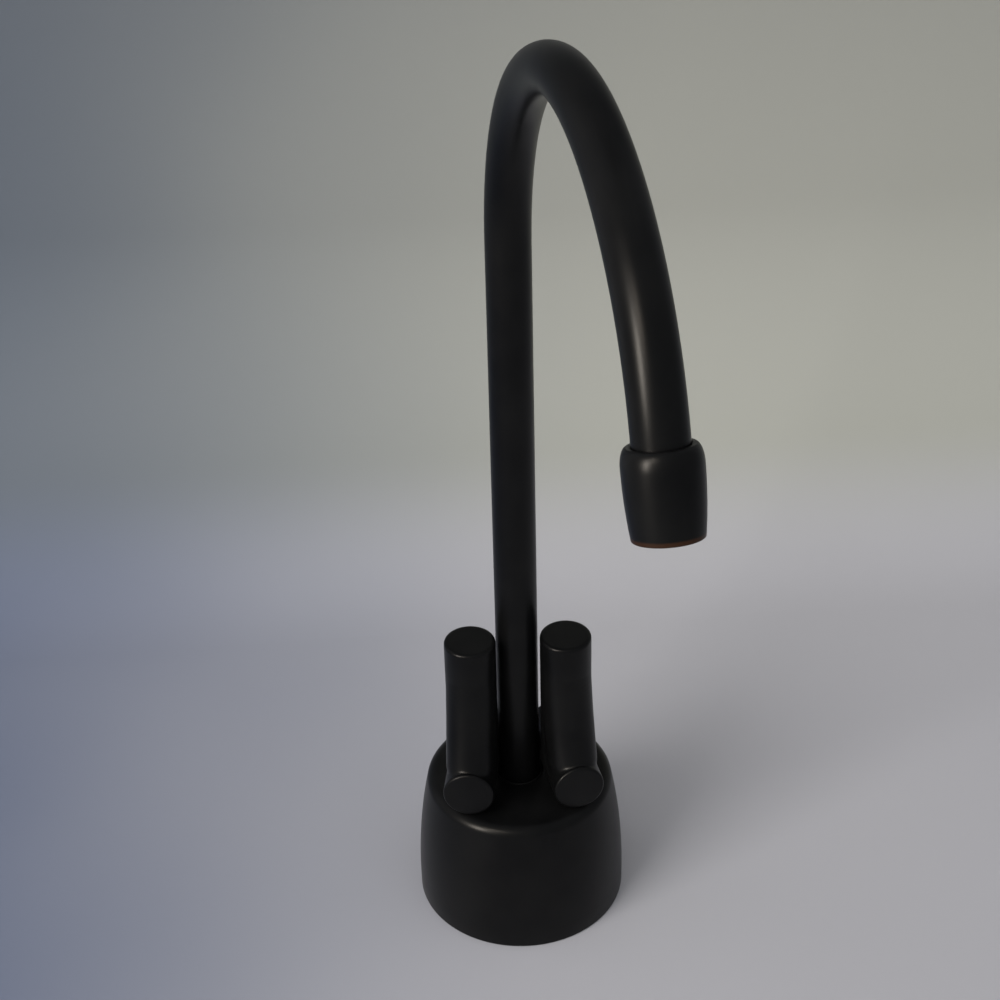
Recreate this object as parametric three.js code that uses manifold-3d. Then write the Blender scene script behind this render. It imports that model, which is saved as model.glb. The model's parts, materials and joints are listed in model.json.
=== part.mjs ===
// Boiling water tap: a swan-neck spout and two upright levers on a round base.
// Millimetres, +Z up. The origin is the middle of the base's underside and the user stands at -Y.

import * as THREE from 'three';
import { mergeVertices } from 'three/addons/utils/BufferGeometryUtils.js';
import Module from 'manifold-3d';

const wasm = await Module();
wasm.setup();

const RAD = Math.PI / 180;

// ---- Clearances ----
const GAP = 0.3; // between pieces that are seated, threaded or sliding in each other
const PROUD = 1; // how far a cutting shape runs past the face that it opens

// ---- Facets round a full turn ----
const FINE = 48; // base
const SMOOTH = 40; // levers
const MEDIUM = 28;
const COARSE = 18;
const SMALL = 8;
const HEXAGON = 6;

// ---- Spout ----
const TUBE_DIAMETER = 12;
const TUBE_WALL = 1;
const BEND_RADIUS = 69.8; // of the tube's centre line
const BEND_START_HEIGHT = 217.5;
const BEND_SWEEP = 159.3 * RAD; // from straight up, over and down
const TUBE_RUN_TO_BELL = 1.1; // straight tube between the bend and the bell
const SPOUT_YAW = 8.6 * RAD; // the spout stands a little to the user's right
const SWIVEL_EACH_WAY = 60 * RAD; // from straight ahead to each stop
const HOT_TUBE_DIAMETER = 6;
const HOT_TUBE_WALL = 1;
const BEND_STEPS = 30;
const RISER_STEPS = 2;
const TUBE_SIDES = 24;
const HOT_TUBE_SIDES = 12;

// ---- Outlet bell ----
const BELL_LENGTH = 18.95;
const BELL_COLLAR_RADIUS = 6.95;
const BELL_SHOULDER_RADIUS = 8.4;
const BELL_SHOULDER_LENGTH = 4.2;
const BELL_MOUTH_RADIUS = 7.5;
const BELL_EDGE_RADIUS = 0.35;
const BELL_SOCKET_DEPTH = 8.6;
const BELL_STOP_LENGTH = 1.2; // ledge that the tube's end stops against
const BELL_STOP_BORE = 5.4;
const BELL_CHAMBER_RADIUS = 6.5;
const STRAIGHTENER_LENGTH = 5.6;
const STRAIGHTENER_RECESS = 1.2; // how far it sits inside the mouth
const STRAIGHTENER_HOLES = 8;
const STRAIGHTENER_HOLE_RADIUS = 0.7;
const STRAIGHTENER_HOLE_CIRCLE = 4.8;
const OUTLET_WASHER_THICKNESS = 1.4;
const OUTLET_WASHER_BORE = 4;

// ---- Base shell ----
const BASE_RADIUS = 30.85;
const BASE_HEIGHT = 43;
const BASE_TOP_RADIUS = 27; // where the side would meet the top without the rounded rim
const BASE_RIM_RADIUS = 3.4;
const BASE_FOOT_HEIGHT = 6; // upright part of the side
const BASE_WALL = 4.2;
const BASE_TOP_WALL = 4;
const BASE_EDGE = 0.4;
const SIDE_STEPS = 8;
const RIM_STEPS = 5;

// ---- Base plate and its seal ----
const PLATE_THICKNESS = 8;
const PLATE_REBATE_WALL = 2.95; // shell wall outside the plate
const SEAL_INSET = 1.6; // sealing ring from the plate's edge
const SEAL_WIDTH = 3.4;
const SEAL_THICKNESS = 2.1;
const STUD_SOCKET_RADIUS = 3.4;
const STUD_SOCKET_DEPTH = 7;
const STUD_OFFSET = 14; // in front of the middle
const PLATE_SCREWS = 3;
const PLATE_SCREW_INSET = 4; // screw's axis from the block's edge
const PLATE_SCREW_RADIUS = 1.8;
const PLATE_SCREW_HEAD_RADIUS = 3.6;
const PLATE_SCREW_LENGTH = 19;
const SCREW_SINK = 0.6; // heads lie this far below the face

// ---- Valve block ----
const BLOCK_INSET = 8.85; // block's edge from the base's widest edge
const SPIGOT_RADIUS = 6.8;
const SPIGOT_FOOT_HEIGHT = 15;
const SPIGOT_BORE = 4;
const SPIGOT_SHOULDER_HEIGHT = 33; // the tube stands on this shoulder
const SPIGOT_NECK_HEIGHT = 41; // top of the neck inside the tube
const SPIGOT_SEAT_LENGTH = 4; // narrow bore that holds the hot tube's foot
const SPIGOT_SEAL_HEIGHTS = [18.2, 25.2];
const SPIGOT_SEAL_SECTION = 0.6;
const SPIGOT_GROOVE_DEPTH = 1.1;
const SPIGOT_GROOVE_HALF = 0.95;
const COLD_PORT_HEIGHT = 21.7;
const COLD_PORT_RADIUS = 1.2;
const PASSAGE_RADIUS = 1.2;
const PASSAGE_START_HEIGHT = 26;
const STOP_GROOVE_HEIGHT = 30;
const STOP_GROOVE_DEPTH = 1.6;
const STOP_SCREW_RADIUS = 2.4;
const STOP_DOG_RADIUS = 1.4;
const STOP_DOG_LENGTH = 2.6;
const STOP_SCREW_LENGTH = 12;

// ---- Valves ----
const CHAMBER_RADIUS = 4.5;
const VALVE_SEAT_HEIGHT = 20; // underside of the seat
const VALVE_SEAT_THICKNESS = 3;
const VALVE_SEAT_BORE = 2.3;
const STEM_RADIUS = 1.8;
const STEM_FLANGE_RADIUS = 3.9;
const STEM_FLANGE_THICKNESS = 1.5;
const VALVE_WASHER_THICKNESS = 2.4;
const GLAND_FOOT_HEIGHT = 29.5;
const STEM_SEAL_SECTION = 0.65;
const SPRING_WIRE_RADIUS = 0.4;
const SPRING_COIL_RADIUS = 3.55;
const SPRING_TURNS = 4.5;
const SPRING_STEPS_PER_TURN = 12;
const INLET_BUSH_RADIUS = 5.2;
const INLET_BORE = 3.2;

// ---- Levers ----
const LEVER_SIDE_OFFSET = 13.6; // stick axis from the base's middle plane
const LEVER_FRONT_OFFSET = 4.9; // stick axis in front of the spout
const LEVER_SPLAY = 9.7 * RAD; // each hub points a little outward
const STICK_RADIUS = 7.35;
const STICK_TOP_HEIGHT = 96;
const STICK_EDGE = 0.7;
const HUB_RADIUS = 7.4;
const HUB_TO_BASE_GAP = 0.5;
const HUB_REACH = 14.8; // stick axis to the cap's face
const HUB_TAIL = 3; // stick axis to the hub's back face
const SHIN_TOP_HEIGHT = 72; // where the front of the stick starts to slope to the hub
const SHIN_REACH = 7.4;
const SHIN_SLIMMER = 0.05;
const CAP_THICKNESS = 2.1;
const CAP_EDGE = 0.6;
const SPINDLE_RADIUS = 2.5;
const SPINDLE_FRONT = 8.6;
const SPINDLE_BACK = 16.5;
const LEVER_SCREW_RADIUS = 1.4;
const LEVER_SCREW_HEAD_RADIUS = 3;
const LEVER_SCREW_HEAD_HEIGHT = 1.4;
const LEVER_SCREW_GRIP = 7; // length of thread in the spindle
const SPINDLE_WEB = 1.1; // hub wall between the spindle's end and the screw head

// ---- Lever brackets ----
const VALVE_SETBACK = 12.5; // stick axis back to the valve's axis
const BRACKET_HALF_WIDTH = 5.4;
const BRACKET_BACK = 19;
const BRACKET_POCKET_HALF_WIDTH = 4.5;
const BRACKET_SCREW_SETBACK = 17.2;
const BRACKET_SCREW_RADIUS = 1.1;
const BRACKET_SCREW_HEAD_RADIUS = 2.4;
const BRACKET_SCREW_REACH = 4; // into the bracket
const ECCENTRIC_RADIUS = 3;
const ECCENTRIC_THROW = 1.1;
const ECCENTRIC_LENGTH = 4.6;
const ECCENTRIC_REST = 120 * RAD; // from straight down, towards the outside

// ---- Derived places ----
const HUB_HEIGHT = BASE_HEIGHT + HUB_RADIUS + HUB_TO_BASE_GAP;
const TOP_BORE = SPIGOT_RADIUS + GAP;
const TOP_UNDERSIDE = BASE_HEIGHT - BASE_TOP_WALL;
const BLOCK_TOP = TOP_UNDERSIDE - GAP;
const PLATE_RADIUS = BASE_RADIUS - PLATE_REBATE_WALL - GAP;
const BLOCK_RADIUS = BASE_RADIUS - BLOCK_INSET;
const PLATE_SCREW_CIRCLE = BLOCK_RADIUS - PLATE_SCREW_INSET;
const TUBE_RADIUS = TUBE_DIAMETER / 2;
const TUBE_BORE = TUBE_RADIUS - TUBE_WALL;
const HOT_TUBE_RADIUS = HOT_TUBE_DIAMETER / 2;
const TUBE_SOCKET_DEPTH = BELL_SOCKET_DEPTH - GAP; // tube inside the bell
const STEM_FOOT = VALVE_SEAT_HEIGHT - GAP - VALVE_WASHER_THICKNESS - GAP - STEM_FLANGE_THICKNESS;
const STEM_TOP = HUB_HEIGHT - SPINDLE_RADIUS - GAP;

// ---- Solid tools ----

/** A closed geometry as a solid; a shape that was mirrored inside out is turned round. */
function toSolid(geometry) {
  const plain = geometry.clone();
  plain.deleteAttribute('normal');
  plain.deleteAttribute('uv');
  const merged = mergeVertices(plain, 1e-5);
  const corners = merged.attributes.position.array;
  const faces = Uint32Array.from(merged.index.array);
  if (signedVolume(corners, faces) < 0) {
    for (let i = 0; i < faces.length; i += 3) {
      [faces[i + 1], faces[i + 2]] = [faces[i + 2], faces[i + 1]];
    }
  }
  const body = { numProp: 3, vertProperties: Float32Array.from(corners), triVerts: faces };
  return new wasm.Manifold(new wasm.Mesh(body));
}

/** Six times the volume inside the faces, negative when they point inward. */
function signedVolume(corners, faces) {
  const [a, b, c] = [new THREE.Vector3(), new THREE.Vector3(), new THREE.Vector3()];
  let sum = 0;
  for (let i = 0; i < faces.length; i += 3) {
    a.fromArray(corners, faces[i] * 3);
    b.fromArray(corners, faces[i + 1] * 3);
    c.fromArray(corners, faces[i + 2] * 3);
    sum += a.dot(b.cross(c));
  }
  return sum;
}

/** A solid back as a geometry. */
function toGeometry(body) {
  const { vertProperties, triVerts } = body.getMesh();
  const geometry = new THREE.BufferGeometry();
  geometry.setAttribute('position', new THREE.BufferAttribute(vertProperties, 3));
  geometry.setIndex(new THREE.BufferAttribute(triVerts, 1));
  return geometry;
}

/** The first shape with the others cut out of it. */
function cut(shape, ...tools) {
  return toGeometry(tools.reduce((body, tool) => body.subtract(toSolid(tool)), toSolid(shape)));
}

/** All the shapes as one. */
function join(...shapes) {
  return toGeometry(shapes.map(toSolid).reduce((whole, next) => whole.add(next)));
}

/** A closed geometry on its own, with its faces pointing out. */
function closed(shape) {
  return toGeometry(toSolid(shape));
}

// ---- Shape helpers ----

/** A profile of [radius, height] points turned about the Z axis. */
function turned(profile, facets = MEDIUM) {
  const points = profile.map(([radius, height]) => new THREE.Vector2(radius, height));
  return new THREE.LatheGeometry(points, facets).rotateX(Math.PI / 2);
}

/** A ring profile is closed by coming back to its first point. */
function turnedRing(profile, facets = MEDIUM) {
  return turned([...profile, profile[0]], facets);
}

/** A plain round bar from one height to another. */
function bar(radius, from, to, facets = MEDIUM) {
  return turned([[0, from], [radius, from], [radius, to], [0, to]], facets);
}

/** A plain round sleeve. */
function sleeve(inner, outer, from, to, facets = MEDIUM) {
  return turnedRing([[inner, from], [outer, from], [outer, to], [inner, to]], facets);
}

/** Points of an arc about a centre, as [radius, height] pairs. */
function arc(centre, radius, from, to, steps) {
  const points = [];
  for (let i = 0; i <= steps; i++) {
    const angle = from + ((to - from) * i) / steps;
    points.push([centre[0] + radius * Math.cos(angle), centre[1] + radius * Math.sin(angle)]);
  }
  return points;
}

/** A countersunk screw, head down, or the hole that it needs when grown by a clearance. */
function countersunk(radius, headRadius, from, to, grow = 0, mouth = from) {
  const rim = from + grow;
  const slope = headRadius - radius;
  return turned([
    [0, mouth], [headRadius + grow, mouth], [headRadius + grow, rim],
    [radius + grow, rim + slope], [radius + grow, to + grow], [0, to + grow],
  ], COARSE);
}

/** A six-sided key socket that opens downward. */
function keySocket(radius, mouth, depth) {
  return bar(radius, mouth - PROUD, mouth + depth, HEXAGON);
}

/** A line that runs up, bends over in the YZ plane towards -Y, and runs on straight. */
class SwanNeck extends THREE.Curve {
  constructor(foot, runOn) {
    super();
    this.rise = BEND_START_HEIGHT - foot;
    this.foot = foot;
    this.runOn = runOn;
    this.steps = RISER_STEPS + BEND_STEPS + 1;
  }

  /** The steps are shared out by hand: few on the straights and most in the bend. */
  getUtoTmapping(u) {
    return u;
  }

  getPoint(t, target = new THREE.Vector3()) {
    const step = t * this.steps;
    if (step < RISER_STEPS) {
      return target.set(0, 0, this.foot + (this.rise * step) / RISER_STEPS);
    }
    const turn = BEND_SWEEP * Math.min((step - RISER_STEPS) / BEND_STEPS, 1);
    const beyond = Math.max(step - RISER_STEPS - BEND_STEPS, 0) * this.runOn;
    const out = BEND_RADIUS * (1 - Math.cos(turn)) + beyond * Math.sin(turn);
    const up = BEND_RADIUS * Math.sin(turn) + beyond * Math.cos(turn);
    return target.set(0, -out, BEND_START_HEIGHT + up);
  }
}

/** A coil about the Z axis. */
class Coil extends THREE.Curve {
  constructor(radius, turns, from, to) {
    super();
    Object.assign(this, { radius, turns, from, to });
  }

  getPoint(t, target = new THREE.Vector3()) {
    const angle = 2 * Math.PI * this.turns * t;
    const height = this.from + (this.to - this.from) * t;
    return target.set(this.radius * Math.cos(angle), this.radius * Math.sin(angle), height);
  }
}

/** A round section, hollow if a bore is given, swept along a line. */
function swept(path, radius, bore, sides, steps) {
  const section = new THREE.Shape().absarc(0, 0, radius, 0, 2 * Math.PI);
  if (bore > 0) {
    section.holes.push(new THREE.Path().absarc(0, 0, bore, 0, 2 * Math.PI, true));
  }
  const settings = { steps, bevelEnabled: false, extrudePath: path, curveSegments: sides / 2 };
  return closed(new THREE.ExtrudeGeometry(section, settings));
}

/** A flat outline in X and Z with an upright half and a round top, thick along Y. */
function archBlock(halfWidth, foot, axisHeight, front, back) {
  const outline = new THREE.Shape();
  outline.moveTo(-halfWidth, foot);
  outline.lineTo(halfWidth, foot);
  outline.lineTo(halfWidth, axisHeight);
  outline.absarc(0, axisHeight, halfWidth, 0, Math.PI);
  const settings = { depth: back - front, bevelEnabled: false, curveSegments: SMALL };
  return new THREE.ExtrudeGeometry(outline, settings).rotateX(Math.PI / 2).translate(0, back, 0);
}

/** A bar along the hub: distances count forward from the stick's axis. */
function alongHub(shape) {
  return shape.rotateX(Math.PI / 2).translate(0, 0, HUB_HEIGHT);
}

// ---- Finishes ----
const FINISHES = {
  black: new THREE.MeshStandardMaterial({ color: 0x1b1b1c, roughness: 0.42, metalness: 0.1 }),
  brass: new THREE.MeshStandardMaterial({ color: 0xb08d4a, roughness: 0.35, metalness: 1 }),
  steel: new THREE.MeshStandardMaterial({ color: 0xa9adb1, roughness: 0.3, metalness: 1 }),
  rubber: new THREE.MeshStandardMaterial({ color: 0x161616, roughness: 0.85, metalness: 0 }),
  acetal: new THREE.MeshStandardMaterial({ color: 0x242424, roughness: 0.55, metalness: 0 }),
  silicone: new THREE.MeshStandardMaterial({ color: 0xd9dadb, roughness: 0.5, metalness: 0 }),
};

const tap = new THREE.Group();

/** Adds a piece to a group under its name. */
function add(group, name, shape, finish) {
  const piece = new THREE.Mesh(shape, FINISHES[finish]);
  piece.name = name;
  group.add(piece);
}

// ---- The two sides ----
// Each side has its own frame: the stick's axis is at its origin, the hub points along -Y and the
// outside of the tap is +X on the right. The left side is the right side mirrored.
const SIDES = [{ name: 'hot', hand: -1 }, { name: 'cold', hand: 1 }];

/** The group that places one side's pieces. */
function sideFrame({ hand }) {
  const frame = new THREE.Group();
  frame.position.set(hand * LEVER_SIDE_OFFSET, -LEVER_FRONT_OFFSET, 0);
  frame.rotation.z = hand * LEVER_SPLAY;
  frame.updateMatrix();
  return frame;
}

/** A cutting shape moved from a side's frame to the tap's. */
function onSide(side, shape) {
  return shape.clone().applyMatrix4(sideFrame(side).matrix);
}

/** A shape moved back to the valve's axis in its side's frame. */
function atValve(shape) {
  return shape.translate(0, VALVE_SETBACK, 0);
}

/** Where the plate screws stand. */
function plateScrewSpots() {
  return Array.from({ length: PLATE_SCREWS }, (_, i) => {
    const angle = Math.PI / 2 + (2 * Math.PI * i) / PLATE_SCREWS;
    return [PLATE_SCREW_CIRCLE * Math.cos(angle), PLATE_SCREW_CIRCLE * Math.sin(angle)];
  });
}

/** A shape turned from +Z to point along +Y, starting at the spout's axis. */
function towardsBack(shape) {
  return shape.rotateX(-Math.PI / 2).translate(0, 0, STOP_GROOVE_HEIGHT);
}

// ---- Base ----

function addBase() {
  const drop = BASE_RADIUS - BASE_TOP_RADIUS;
  const rise = BASE_HEIGHT - BASE_FOOT_HEIGHT;
  const sideRadius = (rise ** 2 + drop ** 2) / (2 * drop);
  const sideCentre = [BASE_RADIUS - sideRadius, BASE_FOOT_HEIGHT];
  const rimHeight = rise - BASE_RIM_RADIUS;
  const rimAngle = Math.asin(rimHeight / (sideRadius - BASE_RIM_RADIUS));
  const rimCentre = [
    sideCentre[0] + (sideRadius - BASE_RIM_RADIUS) * Math.cos(rimAngle),
    BASE_HEIGHT - BASE_RIM_RADIUS,
  ];
  const innerRadius = sideRadius - BASE_WALL;
  const innerAngle = Math.asin((TOP_UNDERSIDE - BASE_FOOT_HEIGHT) / innerRadius);
  const ledgeHeight = PLATE_THICKNESS + GAP;
  const ledgeAngle = Math.asin((ledgeHeight - BASE_FOOT_HEIGHT) / innerRadius);
  const rebate = PLATE_RADIUS + GAP;
  const body = turnedRing([
    [rebate, 0], [BASE_RADIUS - BASE_EDGE, 0], [BASE_RADIUS, BASE_EDGE],
    ...arc(sideCentre, sideRadius, 0, rimAngle, SIDE_STEPS),
    ...arc(rimCentre, BASE_RIM_RADIUS, rimAngle, Math.PI / 2, RIM_STEPS).slice(1),
    [TOP_BORE, BASE_HEIGHT], [TOP_BORE, TOP_UNDERSIDE],
    ...arc(sideCentre, innerRadius, innerAngle, ledgeAngle, SIDE_STEPS / 2),
    [rebate, ledgeHeight],
  ], FINE);

  const holes = SIDES.flatMap((side) => [
    onSide(side, atValve(bar(STEM_RADIUS + GAP, TOP_UNDERSIDE - PROUD, BASE_HEIGHT + PROUD, COARSE))),
    onSide(side, bracketScrew(GAP, TOP_UNDERSIDE - PROUD)),
  ]);
  const access = towardsBack(bar(STOP_SCREW_RADIUS + GAP, BLOCK_RADIUS, BASE_RADIUS + PROUD, COARSE));
  add(tap, 'base_shell', cut(body, ...holes, access), 'black');

  const sealOuter = PLATE_RADIUS - SEAL_INSET;
  const sealInner = sealOuter - SEAL_WIDTH;
  const plate = turned([
    [0, 0], [sealInner - GAP, 0], [sealInner - GAP, SEAL_THICKNESS + GAP],
    [sealOuter + GAP, SEAL_THICKNESS + GAP], [sealOuter + GAP, 0],
    [PLATE_RADIUS, 0], [PLATE_RADIUS, PLATE_THICKNESS], [0, PLATE_THICKNESS],
  ], FINE);
  const inlets = SIDES.map((side) => onSide(side, atValve(
    bar(INLET_BUSH_RADIUS + GAP, -PROUD, PLATE_THICKNESS + PROUD),
  )));
  const stud = bar(STUD_SOCKET_RADIUS, -PROUD, STUD_SOCKET_DEPTH).translate(0, -STUD_OFFSET, 0);
  const sinks = plateScrewSpots().map(([x, y]) => plateScrew(GAP, -PROUD).translate(x, y, 0));
  add(tap, 'base_plate', cut(plate, ...inlets, stud, ...sinks), 'steel');
  add(tap, 'base_seal', closed(sleeve(sealInner, sealOuter, 0, SEAL_THICKNESS, FINE)), 'rubber');

  plateScrewSpots().forEach(([x, y], i) => {
    const screw = cut(plateScrew(), keySocket(PLATE_SCREW_RADIUS, SCREW_SINK, PLATE_SCREW_RADIUS));
    add(tap, `plate_screw_${i + 1}`, screw.translate(x, y, 0), 'steel');
  });
}

/** A plate screw, or its hole when grown. */
function plateScrew(grow = 0, mouth = SCREW_SINK) {
  const tip = SCREW_SINK + PLATE_SCREW_LENGTH;
  return countersunk(PLATE_SCREW_RADIUS, PLATE_SCREW_HEAD_RADIUS, SCREW_SINK, tip, grow, mouth);
}

/** A bracket screw in its side's frame, or its hole when grown. */
function bracketScrew(grow = 0, mouth = TOP_UNDERSIDE) {
  const tip = BASE_HEIGHT + BRACKET_SCREW_REACH;
  const shape = countersunk(
    BRACKET_SCREW_RADIUS, BRACKET_SCREW_HEAD_RADIUS, TOP_UNDERSIDE, tip, grow, mouth,
  );
  return shape.translate(0, BRACKET_SCREW_SETBACK, 0);
}

function addValveBlock() {
  const boreFoot = SPIGOT_FOOT_HEIGHT - PROUD;
  const block = turned([
    [0, PLATE_THICKNESS], [BLOCK_RADIUS, PLATE_THICKNESS], [BLOCK_RADIUS, BLOCK_TOP],
    [TOP_BORE, BLOCK_TOP], [TOP_BORE, boreFoot], [0, boreFoot],
  ], FINE);
  const seatTop = VALVE_SEAT_HEIGHT + VALVE_SEAT_THICKNESS;
  const chambers = SIDES.flatMap((side) => [
    bar(CHAMBER_RADIUS, PLATE_THICKNESS - PROUD, VALVE_SEAT_HEIGHT),
    bar(VALVE_SEAT_BORE, VALVE_SEAT_HEIGHT - PROUD, seatTop + PROUD, COARSE),
    bar(CHAMBER_RADIUS, seatTop, BLOCK_TOP + PROUD),
  ].map((shape) => onSide(side, atValve(shape))));
  const passages = SIDES.map((side) => passage(side));
  const threads = plateScrewSpots().map(([x, y]) => plateScrew(GAP, -PROUD).translate(x, y, 0));
  const stop = towardsBack(bar(STOP_SCREW_RADIUS + GAP, SPIGOT_RADIUS, BLOCK_RADIUS + PROUD, COARSE));
  add(tap, 'valve_block', cut(block, ...chambers, ...passages, ...threads, stop), 'brass');
}

/** The drilling from a valve's upper chamber to the swivel bore: hot low, cold between the seals. */
function passage(side) {
  const valve = new THREE.Vector3(0, VALVE_SETBACK, PASSAGE_START_HEIGHT);
  valve.applyMatrix4(sideFrame(side).matrix);
  const endHeight = side.name === 'hot' ? SPIGOT_FOOT_HEIGHT : COLD_PORT_HEIGHT;
  const end = new THREE.Vector3(valve.x, valve.y, 0).setLength(SPIGOT_RADIUS);
  end.z = endHeight;
  const run = new THREE.Vector3().subVectors(valve, end);
  const drill = bar(PASSAGE_RADIUS, 0, run.length(), SMALL);
  const aim = new THREE.Quaternion().setFromUnitVectors(new THREE.Vector3(0, 0, 1), run.normalize());
  return drill.applyQuaternion(aim).translate(end.x, end.y, end.z);
}

function addSwivel() {
  const wall = sleeve(TUBE_RADIUS + GAP, TOP_BORE - GAP / 2, SPIGOT_NECK_HEIGHT - PROUD, BASE_HEIGHT);
  add(tap, 'spout_bearing', closed(wall), 'acetal');

  const dogTip = SPIGOT_RADIUS - STOP_GROOVE_DEPTH + GAP;
  const shoulder = dogTip + STOP_DOG_LENGTH;
  const back = shoulder + STOP_SCREW_LENGTH;
  const screw = turned([
    [0, dogTip], [STOP_DOG_RADIUS, dogTip], [STOP_DOG_RADIUS, shoulder],
    [STOP_SCREW_RADIUS, shoulder], [STOP_SCREW_RADIUS, back], [0, back],
  ], COARSE);
  const key = bar(STOP_DOG_RADIUS, back - STOP_DOG_LENGTH, back + PROUD, HEXAGON);
  add(tap, 'swivel_stop_screw', towardsBack(cut(screw, key)), 'steel');
}

// ---- Spout ----

function addSpout() {
  const spout = new THREE.Group();
  spout.rotation.z = SPOUT_YAW;
  tap.add(spout);

  const steps = RISER_STEPS + BEND_STEPS + 1;
  const tubePath = new SwanNeck(SPIGOT_SHOULDER_HEIGHT + GAP, TUBE_RUN_TO_BELL + TUBE_SOCKET_DEPTH);
  add(spout, 'spout_tube', swept(tubePath, TUBE_RADIUS, TUBE_BORE, TUBE_SIDES, steps), 'black');

  const hotEnd = TUBE_RUN_TO_BELL + BELL_LENGTH - STRAIGHTENER_RECESS - GAP;
  const hotPath = new SwanNeck(SPIGOT_FOOT_HEIGHT + GAP, hotEnd);
  const hotBore = HOT_TUBE_RADIUS - HOT_TUBE_WALL;
  const hotTube = swept(hotPath, HOT_TUBE_RADIUS, hotBore, HOT_TUBE_SIDES, steps);
  add(spout, 'hot_tube', hotTube, 'silicone');

  add(spout, 'spout_spigot', spigot(), 'brass');
  const sealRadius = SPIGOT_RADIUS - SPIGOT_GROOVE_DEPTH + SPIGOT_SEAL_SECTION + GAP / 2;
  SPIGOT_SEAL_HEIGHTS.forEach((height, i) => {
    const ring = new THREE.TorusGeometry(sealRadius, SPIGOT_SEAL_SECTION, HEXAGON, MEDIUM);
    add(spout, `spigot_seal_${i ? 'upper' : 'lower'}`, closed(ring.translate(0, 0, height)), 'rubber');
  });

  const bell = new THREE.Group();
  const endPath = new SwanNeck(SPIGOT_FOOT_HEIGHT, TUBE_RUN_TO_BELL);
  bell.position.copy(endPath.getPoint(1));
  bell.rotation.x = BEND_SWEEP;
  spout.add(bell);
  addBell(bell);
}

function spigot() {
  const seatTop = SPIGOT_FOOT_HEIGHT + SPIGOT_SEAT_LENGTH;
  const grooveFloor = SPIGOT_RADIUS - SPIGOT_GROOVE_DEPTH;
  const grooves = SPIGOT_SEAL_HEIGHTS.flatMap((height) => [
    [SPIGOT_RADIUS, height - SPIGOT_GROOVE_HALF], [grooveFloor, height - SPIGOT_GROOVE_HALF],
    [grooveFloor, height + SPIGOT_GROOVE_HALF], [SPIGOT_RADIUS, height + SPIGOT_GROOVE_HALF],
  ]);
  const neck = TUBE_BORE - GAP;
  const body = turnedRing([
    [HOT_TUBE_RADIUS + GAP, SPIGOT_FOOT_HEIGHT], [SPIGOT_RADIUS, SPIGOT_FOOT_HEIGHT],
    ...grooves,
    [SPIGOT_RADIUS, SPIGOT_SHOULDER_HEIGHT], [neck, SPIGOT_SHOULDER_HEIGHT],
    [neck, SPIGOT_NECK_HEIGHT], [SPIGOT_BORE, SPIGOT_NECK_HEIGHT],
    [SPIGOT_BORE, seatTop], [HOT_TUBE_RADIUS + GAP, seatTop],
  ]);

  // The stop groove runs round the back, as far each way as the spout may turn.
  const slack = Math.asin((STOP_DOG_RADIUS + GAP) / (SPIGOT_RADIUS - STOP_GROOVE_DEPTH));
  const from = Math.PI / 2 - SWIVEL_EACH_WAY - slack;
  const to = Math.PI / 2 + SWIVEL_EACH_WAY + slack;
  const sector = new THREE.Shape();
  sector.absarc(0, 0, SPIGOT_RADIUS + PROUD, from, to);
  sector.absarc(0, 0, SPIGOT_RADIUS - STOP_GROOVE_DEPTH, to, from, true);
  const height = 2 * (STOP_DOG_RADIUS + GAP);
  const settings = { depth: height, bevelEnabled: false, curveSegments: SMALL };
  const groove = new THREE.ExtrudeGeometry(sector, settings);
  groove.translate(0, 0, STOP_GROOVE_HEIGHT - height / 2);

  const port = bar(COLD_PORT_RADIUS, SPIGOT_BORE - PROUD, SPIGOT_RADIUS + PROUD, SMALL);
  port.rotateX(-Math.PI / 2).translate(0, 0, COLD_PORT_HEIGHT);
  return cut(body, groove, port);
}

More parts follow.
